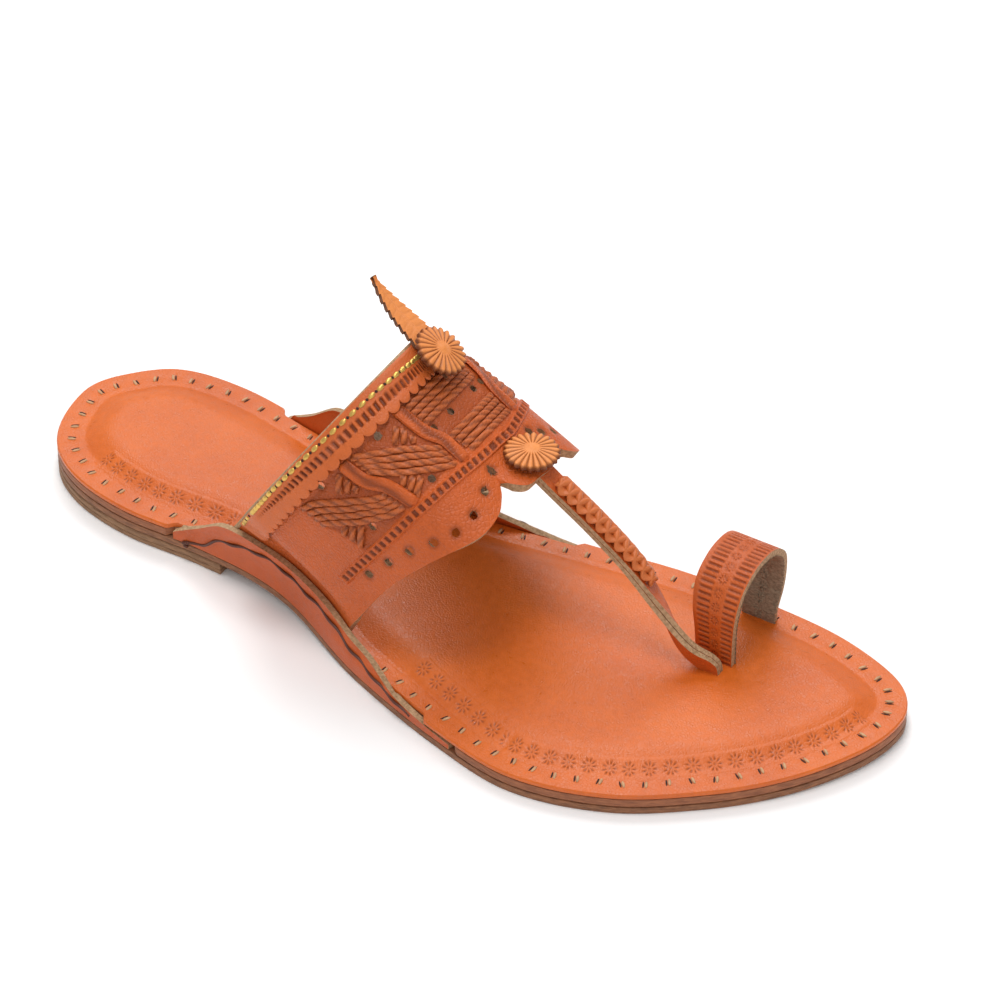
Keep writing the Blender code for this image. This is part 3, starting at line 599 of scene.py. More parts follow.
def dress(piece, materials, replaced=()):
    """Shade a piece smooth, give it its materials and let it ride on the shoe."""
    select_only(piece)
    if not piece.data.materials:
        give_materials(piece, materials)
    bpy.ops.object.shade_smooth_by_angle(angle=math.radians(40))
    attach(piece, "root")
    if replaced:
        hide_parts(*replaced)
    return piece


# Materials.


def colour(code):
    """The linear colour of an sRGB hex code."""
    channels = [int(code[i : i + 2], 16) / 255 for i in (1, 3, 5)]
    return (*[c / 12.92 if c <= 0.04045 else ((c + 0.055) / 1.055) ** 2.4 for c in channels], 1.0)


def node(tree, kind, settings=None, **links):
    """Add a node, set its properties and sockets, and link sockets to other nodes' outputs."""
    made = tree.nodes.new("ShaderNode" + kind)
    for key, value in (settings or {}).items():
        if isinstance(key, str) and hasattr(made, key):
            setattr(made, key, value)
        else:
            made.inputs[key].default_value = value
    for key, output in links.items():
        name = key.replace("_", " ")
        tree.links.new(output, made.inputs[int(name[2:]) if name.startswith("in") else name])
    return made


def leather(name, base, burnish, grain_size, relief, roughness, sheen=0.0):
    """Vegetable-tanned cowhide, dyed and oiled.

    The base and burnish colours mix in hand-wide blotches, and the grain is a net of fine cells
    of the given size. Hollows, slots, dents and the band under the woven cords get painted
    shade: a per-point attribute mixes a dark colour in there.
    """
    material = bpy.data.materials.new(name)
    material.use_nodes = True
    tree = material.node_tree
    shader = tree.nodes["Principled BSDF"]
    place = node(tree, "TexCoord").outputs["Object"]
    blotch = node(tree, "TexNoise", {"Scale": 1 / BLOTCH_SIZE, "Detail": 4.0}, Vector=place)
    speck = node(tree, "TexNoise", {"Scale": 1 / SPECK_SIZE, "Detail": 3.0}, Vector=place)
    cloud = node(
        tree, "MapRange", {"From Min": 0.35, "From Max": 0.75, "To Max": BLOTCH_STRENGTH},
        Value=blotch.outputs["Fac"],
    )
    tint = node(
        tree, "Mix", {"data_type": "RGBA", 6: colour(base), 7: colour(burnish)},
        in0=cloud.outputs["Result"],
    )
    grey = node(
        tree, "MapRange", {"From Min": 0.3, "From Max": 0.7, "To Min": 0.94, "To Max": 1.05},
        Value=speck.outputs["Fac"],
    )
    shaded = node(
        tree, "Mix", {"data_type": "RGBA", "blend_type": "MULTIPLY", 0: 1.0},
        in6=tint.outputs[2], in7=grey.outputs["Result"],
    )
    # Painted shade: a per-point attribute mixes a dark colour into hollows, slots and dents.
    hollow = node(tree, "Attribute", {"attribute_name": "hollow"})
    painted_shade_mix = node(
        tree, "Mix", {"data_type": "RGBA", 7: colour(PAINTED_SHADE_COLOUR)},
        in0=hollow.outputs["Fac"], in6=shaded.outputs[2],
    )
    tree.links.new(painted_shade_mix.outputs[2], shader.inputs["Base Color"])
    cells = node(
        tree, "TexVoronoi", {"Scale": 1 / grain_size, "feature": "DISTANCE_TO_EDGE"}, Vector=place
    )
    cell_edge = node(tree, "MapRange", {"From Max": 0.22}, Value=cells.outputs["Distance"])
    pores = node(tree, "TexNoise", {"Scale": 2.5 / grain_size, "Detail": 3.0}, Vector=place)
    skin = node(
        tree, "Math", {"operation": "MULTIPLY_ADD", 1: 0.6},
        in0=pores.outputs["Fac"], in2=cell_edge.outputs["Result"],
    )
    bump = node(
        tree, "Bump", {"Strength": relief, "Distance": GRAIN_DEPTH}, Height=skin.outputs["Value"]
    )
    tree.links.new(bump.outputs["Normal"], shader.inputs["Normal"])
    gloss = node(
        tree, "MapRange",
        {"From Min": 0.3, "From Max": 0.7, "To Min": roughness - 0.06, "To Max": roughness + 0.08},
        Value=speck.outputs["Fac"],
    )
    tree.links.new(gloss.outputs["Result"], shader.inputs["Roughness"])
    shader.inputs["IOR"].default_value = LEATHER_IOR
    shader.inputs["Specular IOR Level"].default_value = LEATHER_SHINE
    shader.inputs["Sheen Weight"].default_value = sheen
    return material


def fibrous(name, base, dark, streak, direction, roughness):
    """The raw fibre of cut leather: a cut edge, or a suede inside, with streaks along one way.

    The streaks are stretched noise. Direction scales the coordinates, so a small value on an axis
    draws the streaks out along it.
    """
    material = bpy.data.materials.new(name)
    material.use_nodes = True
    tree = material.node_tree
    shader = tree.nodes["Principled BSDF"]
    place = node(tree, "TexCoord").outputs["Object"]
    stretched = node(tree, "Mapping", {"Scale": direction}, Vector=place)
    fibre = node(
        tree, "TexNoise", {"Scale": 1 / streak, "Detail": 5.0, "Roughness": 0.65},
        Vector=stretched.outputs["Vector"],
    )
    share = node(tree, "MapRange", {"From Min": 0.35, "From Max": 0.68}, Value=fibre.outputs["Fac"])
    tint = node(
        tree, "Mix", {"data_type": "RGBA", 6: colour(dark), 7: colour(base)},
        in0=share.outputs["Result"],
    )
    tree.links.new(tint.outputs[2], shader.inputs["Base Color"])
    bump = node(
        tree, "Bump", {"Strength": 0.5, "Distance": GRAIN_DEPTH}, Height=fibre.outputs["Fac"]
    )
    tree.links.new(bump.outputs["Normal"], shader.inputs["Normal"])
    shader.inputs["Roughness"].default_value = roughness
    return material


def plain(name, code, roughness, metallic=0.0):
    """A small thing's own finish, with a little unevenness in its shine."""
    material = bpy.data.materials.new(name)
    material.use_nodes = True
    tree = material.node_tree
    shader = tree.nodes["Principled BSDF"]
    place = node(tree, "TexCoord").outputs["Object"]
    wear = node(tree, "TexNoise", {"Scale": 1 / SPECK_SIZE, "Detail": 3.0}, Vector=place)
    shade = node(
        tree, "MapRange", {"From Min": 0.3, "From Max": 0.7, "To Min": 0.75, "To Max": 1.1},
        Value=wear.outputs["Fac"],
    )
    tint = node(
        tree, "Mix", {"data_type": "RGBA", "blend_type": "MULTIPLY", 0: 1.0, 6: colour(code)},
        in7=shade.outputs["Result"],
    )
    tree.links.new(tint.outputs[2], shader.inputs["Base Color"])
    shader.inputs["Roughness"].default_value = roughness
    shader.inputs["Metallic"].default_value = metallic
    return material


# Sizes of the leather's own marks.
BLOTCH_SIZE = 24 * MM
SPECK_SIZE = 2.2 * MM
BLOTCH_STRENGTH = 0.55
GRAIN_DEPTH = 0.12 * MM
LEATHER_IOR = 1.48
LEATHER_SHINE = 0.4
# The dark colour of the painted shade in hollows, slots and dents.
PAINTED_SHADE_COLOUR = "#5C2408"

INSOLE_LEATHER = leather("oiled_insole_hide", "#D66820", "#BA521C", 0.9 * MM, 0.35, 0.33)
BAND_LEATHER = leather("grained_band_hide", "#C65A1E", "#A64616", 1.25 * MM, 0.90, 0.46)
FLAP_LEATHER = leather("smooth_flap_hide", "#C65820", "#A64618", 0.90 * MM, 0.35, 0.44)
STRIP_LEATHER = leather("edge_strip_hide", "#CE662B", "#AF4E20", 0.90 * MM, 0.45, 0.44)
TRIM_LEATHER = leather("tooled_trim_hide", "#E58F4C", "#D27634", 0.80 * MM, 0.30, 0.45)
PLAIT_LEATHER = leather("plaited_thong_hide", "#C86A33", "#A85222", 0.80 * MM, 0.30, 0.44)
LOOP_LEATHER = leather("stamped_loop_hide", "#C45A1E", "#A24618", 0.90 * MM, 0.45, 0.42)
WOVEN_LEATHER = leather("woven_cord_hide", "#BE602C", "#96461C", 0.60 * MM, 0.30, 0.48)
SOLE_EDGE = fibrous("burnished_sole_edge", "#A26A45", "#6E452B", 0.9 * MM, (0.25, 0.25, 1.6), 0.62)
MIDSOLE_EDGE = fibrous("dyed_midsole_edge", "#A8663F", "#7C4526", 0.9 * MM, (0.25, 0.25, 1.6), 0.60)
HEEL_EDGE = fibrous("stacked_heel_edge", "#A57B58", "#75543A", 0.9 * MM, (0.25, 0.25, 1.6), 0.68)
CUT_EDGE = fibrous("raw_cut_edge", "#C4A07A", "#8E6C4A", 0.5 * MM, (0.6, 0.6, 0.6), 0.78)
SUEDE = fibrous("suede_inside", "#A59079", "#746450", 0.5 * MM, (0.5, 1.0, 1.0), 0.85)
DARK_EDGE = fibrous("darkened_cut_edge", "#8A5430", "#4E2A14", 0.5 * MM, (0.6, 0.6, 0.6), 0.7)
GOLD = plain("gold_foil_cord", "#DDB45C", 0.32, 0.7)
THREAD = plain("pale_hide_lace", "#C79A70", 0.60)
DARK_CORD = plain("waxed_dark_cord", "#56260F", 0.50)
SLIT = plain("shaded_slit", "#3A1B0E", 0.80)


# The sole.

SOLE_COLUMNS = 720
SPINE_SHARES = spread(0, 1, 13)
CORE_INSET = 6 * MM
EDGE_SOFT = 0.35 * MM
WELD_GAP = 0.03 * MM
CREASE_DEPTH = 0.12 * MM
STITCH_INSET = 4.6 * MM
STITCH_PITCH = 6.5 * MM
PUCKER_DEPTH = 0.20 * MM
PUCKER_SIZE = 1.5 * MM

SOLE_ANGLES = spread(0, 2 * math.pi, SOLE_COLUMNS + 1)[:-1]
OUTLINE_RUNS = np.cumsum(
    [0.0] + [(outline_point(b) - outline_point(a)).length for a, b in zip(SOLE_ANGLES, SOLE_ANGLES[1:])]
)


def angle_at_run(run):
    """The angle round the outline at a length along it from the heel, lateral side first."""
    return float(np.interp(run, OUTLINE_RUNS, SOLE_ANGLES))


def spine_point(angle, inset):
    """The point on the middle line of the sole that belongs to a place on its outline."""
    x = SOLE_LENGTH * (1 - math.cos(angle)) / 2
    x = mix(inset, SOLE_LENGTH - inset, x / SOLE_LENGTH)
    share = math.acos(1 - 2 * x / SOLE_LENGTH)
    return (outline_point(share) + outline_point(2 * math.pi - share)) / 2


def layer_piece(profile, core, span=None):
    """A layer of the sole: rings at (inset, level), closed over its middle line at both ends.

    Core is the inset from which the first and last rings shrink to the middle line.
    """
    columns = []
    for angle in SOLE_ANGLES:
        depth = recess(angle, span) if span else 0.0
        spine = spine_point(angle, core)
        low = edge_point(angle, profile[0][0])
        high = edge_point(angle, profile[-1][0])
        places = [(*low.lerp(spine, share), profile[0][1]) for share in reversed(SPINE_SHARES[1:])]
        for inset, level in profile:
            places.append((*edge_point(angle, max(inset, inset * 0.9 + depth)), level))
        places += [(*high.lerp(spine, share), profile[-1][1]) for share in SPINE_SHARES[1:]]
        columns.append([(x, y, z + rise(x)) for x, y, z in places])
    return np.array(columns)


def close_round(name, points):
    """A piece from a grid whose columns go all the way round and whose rows end on a middle line."""
    piece = sheet_piece(name, np.concatenate([points, points[:1]], axis=0))
    return piece


def weld(piece):
    """Merge a piece's meeting points and turn its faces outwards."""
    select_only(piece)
    bpy.ops.object.mode_set(mode="EDIT")
    bpy.ops.mesh.select_all(action="SELECT")
    bpy.ops.mesh.remove_doubles(threshold=WELD_GAP)
    bpy.ops.mesh.dissolve_degenerate(threshold=1e-7)
    bpy.ops.mesh.normals_make_consistent(inside=False)
    bpy.ops.object.mode_set(mode="OBJECT")


def sole_layer(name, bottom, top, material, span=None):
    """A leather layer with burnished edges that bulge a little between two sharp rims."""
    middle = (bottom + top) / 2
    profile = [
        (CORE_INSET, bottom),
        (EDGE_SOFT, bottom),
        (EDGE_SOFT * 0.3, bottom + EDGE_SOFT * 0.4),
        (EDGE_SOFT * 0.15, bottom + EDGE_SOFT),
        (0.0, middle),
        (EDGE_SOFT * 0.15, top - EDGE_SOFT),
        (EDGE_SOFT * 0.3, top - EDGE_SOFT * 0.4),
        (EDGE_SOFT, top),
        (CORE_INSET, top),
    ]
    piece = close_round(name + "_dressed", layer_piece(profile, CORE_INSET * 2.3, span))
    weld(piece)
    return dress(piece, [material], [name])


def make_heel_lift():
    """The stacked block under the heel, cut straight at its front."""
    end = math.acos(1 - 2 * LIFT_LENGTH / SOLE_LENGTH)
    rings = []
    soft = 0.35 * MM
    levels = [(6 * MM, 0.0), (soft, 0.0), (0.0, soft), (0.0, LIFT_TOP / 2 - soft / 2)]
    levels += [(soft * 0.7, LIFT_TOP / 2), (0.0, LIFT_TOP / 2 + soft / 2)]
    levels += [(0.0, LIFT_TOP - soft), (soft, LIFT_TOP), (6 * MM, LIFT_TOP)]
    for angle in spread(-end, end, 200):
        row = []
        for inset, level in levels:
            place = edge_point(angle, inset)
            row.append((min(place.x, LIFT_LENGTH - inset), place.y, level))
        rings.append(row)
    piece = tube_piece("heel_lift_dressed", np.array(rings).transpose(1, 0, 2))
    return dress(piece, [HEEL_EDGE], ["heel_lift"])


def pillow_level(inset):
    """The insole's height above its margin at an inset from the edge."""
    share = min(max((inset - INSOLE_MARGIN) / PILLOW_SLOPE, 0.0), 1.0)
    return PILLOW_RISE * math.sin(share * math.pi / 2) ** 1.3


def recess_span(bottom):
    """The places along the sole between which a layer makes room for the side flaps."""
    places = spread(FLAP_ROWS[0].along * SOLE_LENGTH, FLAP_ROWS[-1].along * SOLE_LENGTH, MEASURING_STEPS)
    covered = [x for x in places if flap_top(x) - rise(x) > bottom - CLEARANCE]
    return covered[0] - 2 * CLEARANCE, covered[-1] + 2 * CLEARANCE


def recess(angle, span):
    """The depth of the recess for the flaps at an angle round the outline."""
    x = SOLE_LENGTH * (1 - math.cos(angle)) / 2
    into = min(x - span[0], span[1] - x)
    return (FLAP_WALL + CLEARANCE) * min(max(into / FLAP_WALL + 1, 0.0), 1.0)


def stitch_angles():
    """Where the edge stitches sit round the outline, with none behind the side flaps."""
    count = round(OUTLINE_RUNS[-1] / STITCH_PITCH)
    angles = [angle_at_run(OUTLINE_RUNS[-1] * (i + 0.5) / count) for i in range(count)]
    kept = []
    for angle in angles:
        share = (1 - math.cos(angle)) / 2
        if not STITCH_GAP[0] < share < STITCH_GAP[1]:
            kept.append(angle)
    return kept


STITCH_GAP = (0.265, 0.47)


def insole_level(angle, inset, stitches):
    """The insole's height above its edge at a place, with its crease and the pull of its stitches."""
    level = pillow_level(inset)
    level -= CREASE_DEPTH * math.exp(-(((inset - INSOLE_MARGIN) / CREASE_WIDTH) ** 2))
    if inset < INSOLE_MARGIN:
        here = edge_point(angle, inset)
        near = min((here - place).length for place in stitches)
        level -= PUCKER_DEPTH * math.exp(-((near / PUCKER_SIZE) ** 2))
    return level


CREASE_WIDTH = 0.7 * MM


OUTLINE_PLACES = np.array([outline_point(angle) for angle in SOLE_ANGLES])


def inward_point(angle, inset, spine):
    """A place inside the outline that turns to the middle line past the margin.

    Lines that stay square to the outline would cross at the narrow heel and toe.
    """
    if inset <= INSOLE_MARGIN:
        return edge_point(angle, inset)
    start = edge_point(angle, INSOLE_MARGIN)
    return start + (spine - start).normalized() * (inset - INSOLE_MARGIN)


def inset_of(place):
    """How far a place lies from the nearest point of the outline."""
    return float(np.min(np.linalg.norm(OUTLINE_PLACES - np.array(place), axis=1)))


def make_insole():
    """The top leather: a stitched flat margin, a crease and the padded middle."""
    span = recess_span(INSOLE_BOTTOM)
    soft = 0.35 * MM
    stitches = [edge_point(angle, STITCH_INSET) for angle in stitch_angles()]
    insets = [soft, 1.0 * MM] + spread(1.6 * MM, INSOLE_MARGIN + PILLOW_SLOPE, 26)
    columns = []
    for angle in SOLE_ANGLES:
        depth = recess(angle, span)
        spine = spine_point(angle, 26 * MM)
        near = [p for p in stitches if (p - edge_point(angle, STITCH_INSET)).length < 3 * PUCKER_SIZE]
        near = near or [Vector((-1, 0))]
        row = []
        low = edge_point(angle, 6 * MM)
        for share in reversed(SPINE_SHARES[1:]):
            row.append((*low.lerp(spine, share), INSOLE_BOTTOM))
        row.append((*low, INSOLE_BOTTOM))
        row.append((*edge_point(angle, depth), INSOLE_BOTTOM))
        row.append((*edge_point(angle, depth), INSOLE_TOP - soft))
        for inset in insets:
            shifted = inset + depth * max(1 - inset / INSOLE_MARGIN, 0.0)
            place = inward_point(angle, shifted, spine)
            true_inset = inset if inset <= INSOLE_MARGIN else inset_of(place)
            row.append((*place, INSOLE_TOP + insole_level(angle, true_inset, near)))
        high = inward_point(angle, insets[-1], spine)
        for share in SPINE_SHARES[1:]:
            place = high.lerp(spine, share)
            row.append((*place, INSOLE_TOP + pillow_level(inset_of(place))))
        columns.append([(x, y, z + rise(x)) for x, y, z in row])
    piece = close_round("insole_dressed", np.array(columns))
    weld(piece)
    piece.name = "insole_dressed"
    return dress(piece, [INSOLE_LEATHER], ["insole"])


def scatter(name, model, places):
    """One piece from copies of a small model at each of the given matrices."""
    made = bmesh.new()
    for place in places:
        copy = model.data.copy()
        copy.transform(Matrix.Translation((-HEEL_CENTRE, 0, 0)) @ place)
        made.from_mesh(copy)
        bpy.data.meshes.remove(copy)
    mesh = bpy.data.meshes.new(name)
    made.to_mesh(mesh)
    made.free()
    piece = bpy.data.objects.new(name, mesh)
    bpy.context.scene.collection.objects.link(piece)
    bpy.data.objects.remove(model)
    return piece


def bead(size):
    """A small rounded bead of the given full sizes, as the start of stitches, pads and knots."""
    bpy.ops.object.select_all(action="DESELECT")
    bpy.ops.mesh.primitive_uv_sphere_add(segments=12, ring_count=8, radius=0.5)
    model = bpy.context.object
    bpy.ops.object.mode_set(mode="EDIT")
    bpy.ops.mesh.select_all(action="SELECT")
    bpy.ops.transform.resize(value=size)
    bpy.ops.object.mode_set(mode="OBJECT")
    return model


def frame_at(place, across, out):
    """A matrix that puts a model's X along a direction and its Z out of the surface."""
    out = Vector(out).normalized()
    across = Vector(across)
    across = (across - out * across.dot(out)).normalized()
    side = out.cross(across)
    turned = Matrix((across, side, out)).transposed().to_4x4()
    return Matrix.Translation(place) @ turned


def make_sole_stitches():
    """Pale hide lace in short stitches across the margin, each beside its awl slit."""
    laces = []
    slits = []
    for index, angle in enumerate(stitch_angles()):
        inward = (edge_point(angle, STITCH_INSET) - edge_point(angle, 0)).normalized()
        along = Vector((inward.y, -inward.x, 0))
        skew = STITCH_SKEW * math.sin(index * 2.4)
        inset = STITCH_INSET + STITCH_WANDER * math.sin(index * 1.7)
        centre = edge_point(angle, inset)
        across = Vector((*inward, 0)) + along * skew
        level = INSOLE_TOP + rise(centre.x) - PUCKER_DEPTH
        place = Vector((*centre, level))
        above = Vector((0, 0, 0.15 * MM))
        laces.append(frame_at(place + along * 0.45 * MM + above, across, (0, 0, 1)))
        slits.append(frame_at(place - along * 0.35 * MM, across, (0, 0, 1)))
    lace = scatter("sole_stitches", bead((2.6 * MM, 0.9 * MM, 0.7 * MM)), laces)
    dress(lace, [THREAD])
    slit = scatter("sole_stitch_slits", bead((2.9 * MM, 0.55 * MM, 0.5 * MM)), slits)
    dress(slit, [SLIT])


STITCH_SKEW = 0.25
STITCH_WANDER = 0.35 * MM

# The flower stamps: runs along the outline from the heel, and the inset at each end of a run.
StampRun = namedtuple("StampRun", "start end inset_start inset_end")
STAMP_RUNS = (
    StampRun(38 * MM, 92 * MM, 10.5 * MM, 10.5 * MM),
    StampRun(164 * MM, 205 * MM, 12.4 * MM, 9.6 * MM),
    StampRun(205 * MM, 322 * MM, 9.6 * MM, 9.4 * MM),
)
STAMP_PITCH = 6.2 * MM
STAMP_SIZE = 4.7 * MM
STAMP_PETALS = 9
STAMP_DEPTH = 0.22 * MM
STAMP_CELL = 0.26 * MM


def stamp_press(along, across):
    """How deep a flower stamp is pressed, from 0 to 1, at a place from its middle."""
    radius = math.hypot(along, across)
    angle = math.atan2(across, along)
    petal = max(math.cos(STAMP_PETALS * angle), 0.0) ** 0.6
    ring_place = (radius - 0.33 * STAMP_SIZE) / (0.14 * STAMP_SIZE)
    centre = math.exp(-((radius / (0.07 * STAMP_SIZE)) ** 2))
    return max(petal * math.exp(-(ring_place**2)), 0.8 * centre)


def make_stamps():
    """The pressed rows of flowers on the insole, each row a thin raised welt that carries them."""
    for number, run in enumerate(STAMP_RUNS):
        length = run.end - run.start
        columns = int(length / STAMP_CELL)
        rows = int(1.6 * STAMP_SIZE / STAMP_CELL)
        points = []
        press_shades = []
        for i in range(columns + 1):
            share = i / columns
            angle = angle_at_run(mix(run.start, run.end, share))
            middle = mix(run.inset_start, run.inset_end, share)
            along = (share * length) % STAMP_PITCH - STAMP_PITCH / 2
            row = []
            press_shade_row = []
            for j in range(rows + 1):
                across = (j / rows - 0.5) * 1.6 * STAMP_SIZE
                press = stamp_press(along, across)
                place = edge_point(angle, middle + across)
                fade = ease((0.8 * STAMP_SIZE - abs(across)) / (0.3 * STAMP_SIZE))
                fade *= ease(min(share, 1 - share) * length / (2 * MM))
                lift = STAMP_DEPTH * (1.15 * fade - 0.12 - press * fade)
                level = INSOLE_TOP + pillow_level(middle + across) + rise(place.x)
                row.append((*place, level + lift))
                press_shade_row.append(press * fade)
            points.append(row)
            press_shades.append(press_shade_row)
        name = f"insole_stamps_{number}"
        piece = sheet_piece(name, np.array(points))
        # Painted shade in the pressed flowers' dents.
        mark(piece, "hollow", STAMP_SHADE * np.array(press_shades))
        modify(piece, "SOLIDIFY", thickness=0.25 * MM, offset=-1)
        dress(piece, [INSOLE_LEATHER])


# How dark the painted shade in the stamps' dents is.
STAMP_SHADE = 0.7


# The side flaps.

FLAP_COLUMNS = 180
FLAP_LEVELS = 22
LACING_PITCH = 9.4 * MM
LACING_WIDTH = 0.85 * MM
# The lacing's route: place along the shoe, and share of the flap's height.
LACING_ROWS = (
    (60 * MM, 0.05), (66 * MM, 0.22), (70.7 * MM, 0.46), (80 * MM, 0.65), (88.8 * MM, 0.80),
    (110 * MM, 0.78), (125 * MM, 0.75), (140 * MM, 0.70), (150 * MM, 0.60),
)


def make_flap(name, side):
    """A side flap: a low wall of smooth hide with a raw cut edge along its top."""
    columns = spread(FLAP_ROWS[0].along * SOLE_LENGTH, FLAP_ROWS[-1].along * SOLE_LENGTH, FLAP_COLUMNS)
    if side == MEDIAL:
        columns.reverse()
    points = grid_of(columns, spread(0, 1, FLAP_LEVELS), lambda x, h: flap_point(side, x, h))
    piece = sheet_piece(name + "_dressed", points)
    make_wall(piece, FLAP_WALL, [FLAP_LEATHER, CUT_EDGE], rim=1)
    return dress(piece, [FLAP_LEATHER, CUT_EDGE], [name])


def lacing_place(side, x, lift):
    """A place on a flap's outer face, at the height of the lacing."""
    share = smooth([row[0] for row in LACING_ROWS], [row[1] for row in LACING_ROWS], x)
    here = flap_point(side, x, share)
    return here + Vector((0, side * lift, 0))


def make_lacing(name, side):
    """The dark waxed cord in a wandering running stitch below a flap's top edge."""
    start = LACING_ROWS[0][0]
    end = LACING_ROWS[-1][0]
    count = int((end - start) / (0.4 * MM))
    centres = []
    for i in range(count + 1):
        x = mix(start, end, i / count)
        wave = 2 * math.pi * (x - start) / LACING_PITCH
        place = lacing_place(side, x, LACING_WIDTH * (0.18 + 0.30 * math.cos(wave)))
        place.z += 0.30 * MM * math.sin(wave) + 0.25 * MM * math.sin(wave * 0.37)
        centres.append(place)
    return round_cord(name, centres, LACING_WIDTH / 2, 8)


def round_cord(name, centres, radius, sides, flat=1.0):
    """A round cord through a list of points, as a closed mesh tube."""
    points = np.array(centres)
    runs = np.gradient(points, axis=0)
    runs /= np.linalg.norm(runs, axis=1, keepdims=True)
    up = np.array([0.0, 0.0, 1.0])
    across = np.cross(runs, up)
    across /= np.linalg.norm(across, axis=1, keepdims=True)
    out = np.cross(across, runs)
    rings = []
    for k in range(sides):
        angle = 2 * math.pi * k / sides
        rings.append(points + radius * (across * math.cos(angle) * flat + out * math.sin(angle)))
    return tube_piece(name, np.array(rings).transpose(1, 0, 2))


def make_knot(name, side):
    """The small knot at the heel end of a flap's lacing."""
    x = LACING_ROWS[0][0]
    place = lacing_place(side, x, 0.3 * MM)
    beads = []
    for shift_x, shift_z in ((0, 0), (1.1 * MM, 0.5 * MM), (0.5 * MM, -0.9 * MM)):
        beads.append(Matrix.Translation(place + Vector((shift_x, 0, shift_z))))
    return scatter(name, bead((1.6 * MM, 1.2 * MM, 1.2 * MM)), beads)


# The instep band.

BAND_CELL = 0.5 * MM
BAND_LEVELS = 98
HOLE_RADIUS = 1.15 * MM
WINDOW_SINK = 0.35 * MM
HOLE_DENT = 0.35 * MM

# Punched holes of the lateral half, as turn and reach, and those on the middle line.
SIDE_HOLES = (
    (8, 0.79), (17, 0.825), (28, 0.87), (40.5, 0.94), (54, 0.995), (69, 1.0), (81, 0.95), (87.5, 0.89),
    (56.5, 0.245), (80, 0.46), (89, 0.46), (42, 0.415), (64, 0.66), (24.5, 0.205), (25, 0.605),
)
# The left edge of the woven window, from the rear to the front.
WINDOW_EDGE = ((0.20, 11.6), (0.396, 11.7), (0.494, 13.5), (0.673, 13.9))
WINDOW_REACH = (0.20, 0.70)


def mirrored(turn):
    """The turn that lies opposite across the band's middle line."""
    return 2 * BAND_MIDDLE_TURN - turn


def both_sides(path):
    """A path on the lateral half and its mirror image on the medial half."""
    return [path, [(mirrored(turn), reach) for turn, reach in path]]


def lifted(turn, reach, lift):
    """A point that stands the lift above the band's outer face."""
    return arch_point(turn, reach) + band_normal(turn, reach) * lift


def along_path(path, share):
    """The turn and the reach at a share of a path's points."""
    places = [i / (len(path) - 1) for i in range(len(path))]
    turn = smooth(places, [point[0] for point in path], share)
    return turn, smooth(places, [point[1] for point in path], share)


def in_window(turn, reach):
    """How far a place lies inside the woven window, from 0 to 1."""
    side_turn = min(turn, mirrored(turn))
    left = float(np.interp(reach, column_of(WINDOW_EDGE, 0), column_of(WINDOW_EDGE, 1)))
    inside = ease((side_turn - left) / 1.5)
    low, high = WINDOW_REACH
    return inside * ease((reach - low) / 0.02) * ease((high - reach) / 0.02)


def column_of(rows, index):
    """One column of a plain table."""
    return [row[index] for row in rows]


def hole_places():
    """The middle of every punched hole, on the band's face."""
    places = []
    for turn, reach in SIDE_HOLES:
        places += [arch_point(turn, reach), arch_point(mirrored(turn), reach)]
    return places


def remove_points(piece, gone):
    """Delete the marked points of a piece, with the faces at them."""
    select_only(piece)
    bpy.ops.object.mode_set(mode="EDIT")
    bpy.ops.mesh.select_mode(type="VERT")
    bpy.ops.mesh.select_all(action="DESELECT")
    bpy.ops.object.mode_set(mode="OBJECT")
    piece.data.vertices.foreach_set("select", np.array(gone, bool))
    bpy.ops.object.mode_set(mode="EDIT")
    bpy.ops.mesh.delete(type="VERT")
    bpy.ops.object.mode_set(mode="OBJECT")


def make_band():
    """The arched band: grained hide outside, suede inside, with punched holes right through it."""
    count = int(ARCH_LENGTHS[-1] / BAND_CELL)
    turns = [turn_at(length) for length in spread(ARCH_LENGTHS[-1], 0, count)]
    for notch in (LATERAL_NOTCH, MEDIAL_NOTCH):
        nearest = min(range(count), key=lambda i: abs(turns[i] - notch))
        turns[nearest] = notch
    rows = spread(0, 1, BAND_LEVELS)
    hollow = []
    points = []
    for turn in turns:
        front = front_reach(turn)
        shades = [in_window(turn, row * front) for row in rows]
        hollow.append(shades)
        points.append([lifted(turn, r * front, -WINDOW_SINK * w) for r, w in zip(rows, shades)])
    points = np.array(points, float)
    # Painted shade on the band in the window, under the woven cords.
    shade = WINDOW_SHADE * np.array(hollow)
    sunk = np.zeros(points.shape)
    cut = np.zeros(points.shape[:2], bool)
    for hole in hole_places():
        away = points - np.array(hole)
        dent = np.exp(-(((np.linalg.norm(away, axis=2) - HOLE_RADIUS) / (0.7 * MM)) ** 2))
        sunk = sunk - normals_of(points) * (dent * HOLE_DENT)[..., None]
        # Painted shade in the dent round each punched hole.
        shade = np.maximum(shade, 0.5 * dent)
        gap = np.linalg.norm(away, axis=2)
        near = np.abs(gap - HOLE_RADIUS) < BAND_CELL * 0.55
        points[near] = (np.array(hole) + away * (HOLE_RADIUS / np.maximum(gap, 1e-9))[..., None])[near]
        cut |= (gap < HOLE_RADIUS) & ~near
    piece = sheet_piece("band_dressed", points + sunk)
    mark(piece, "hollow", shade)
    remove_points(piece, cut.T.ravel())
    make_wall(piece, BAND_WALL, [BAND_LEATHER, SUEDE, CUT_EDGE], inside=1, rim=2)
    return dress(piece, [BAND_LEATHER, SUEDE, CUT_EDGE], ["upper"])


# How dark the painted shade under the woven cords is.
WINDOW_SHADE = 0.35

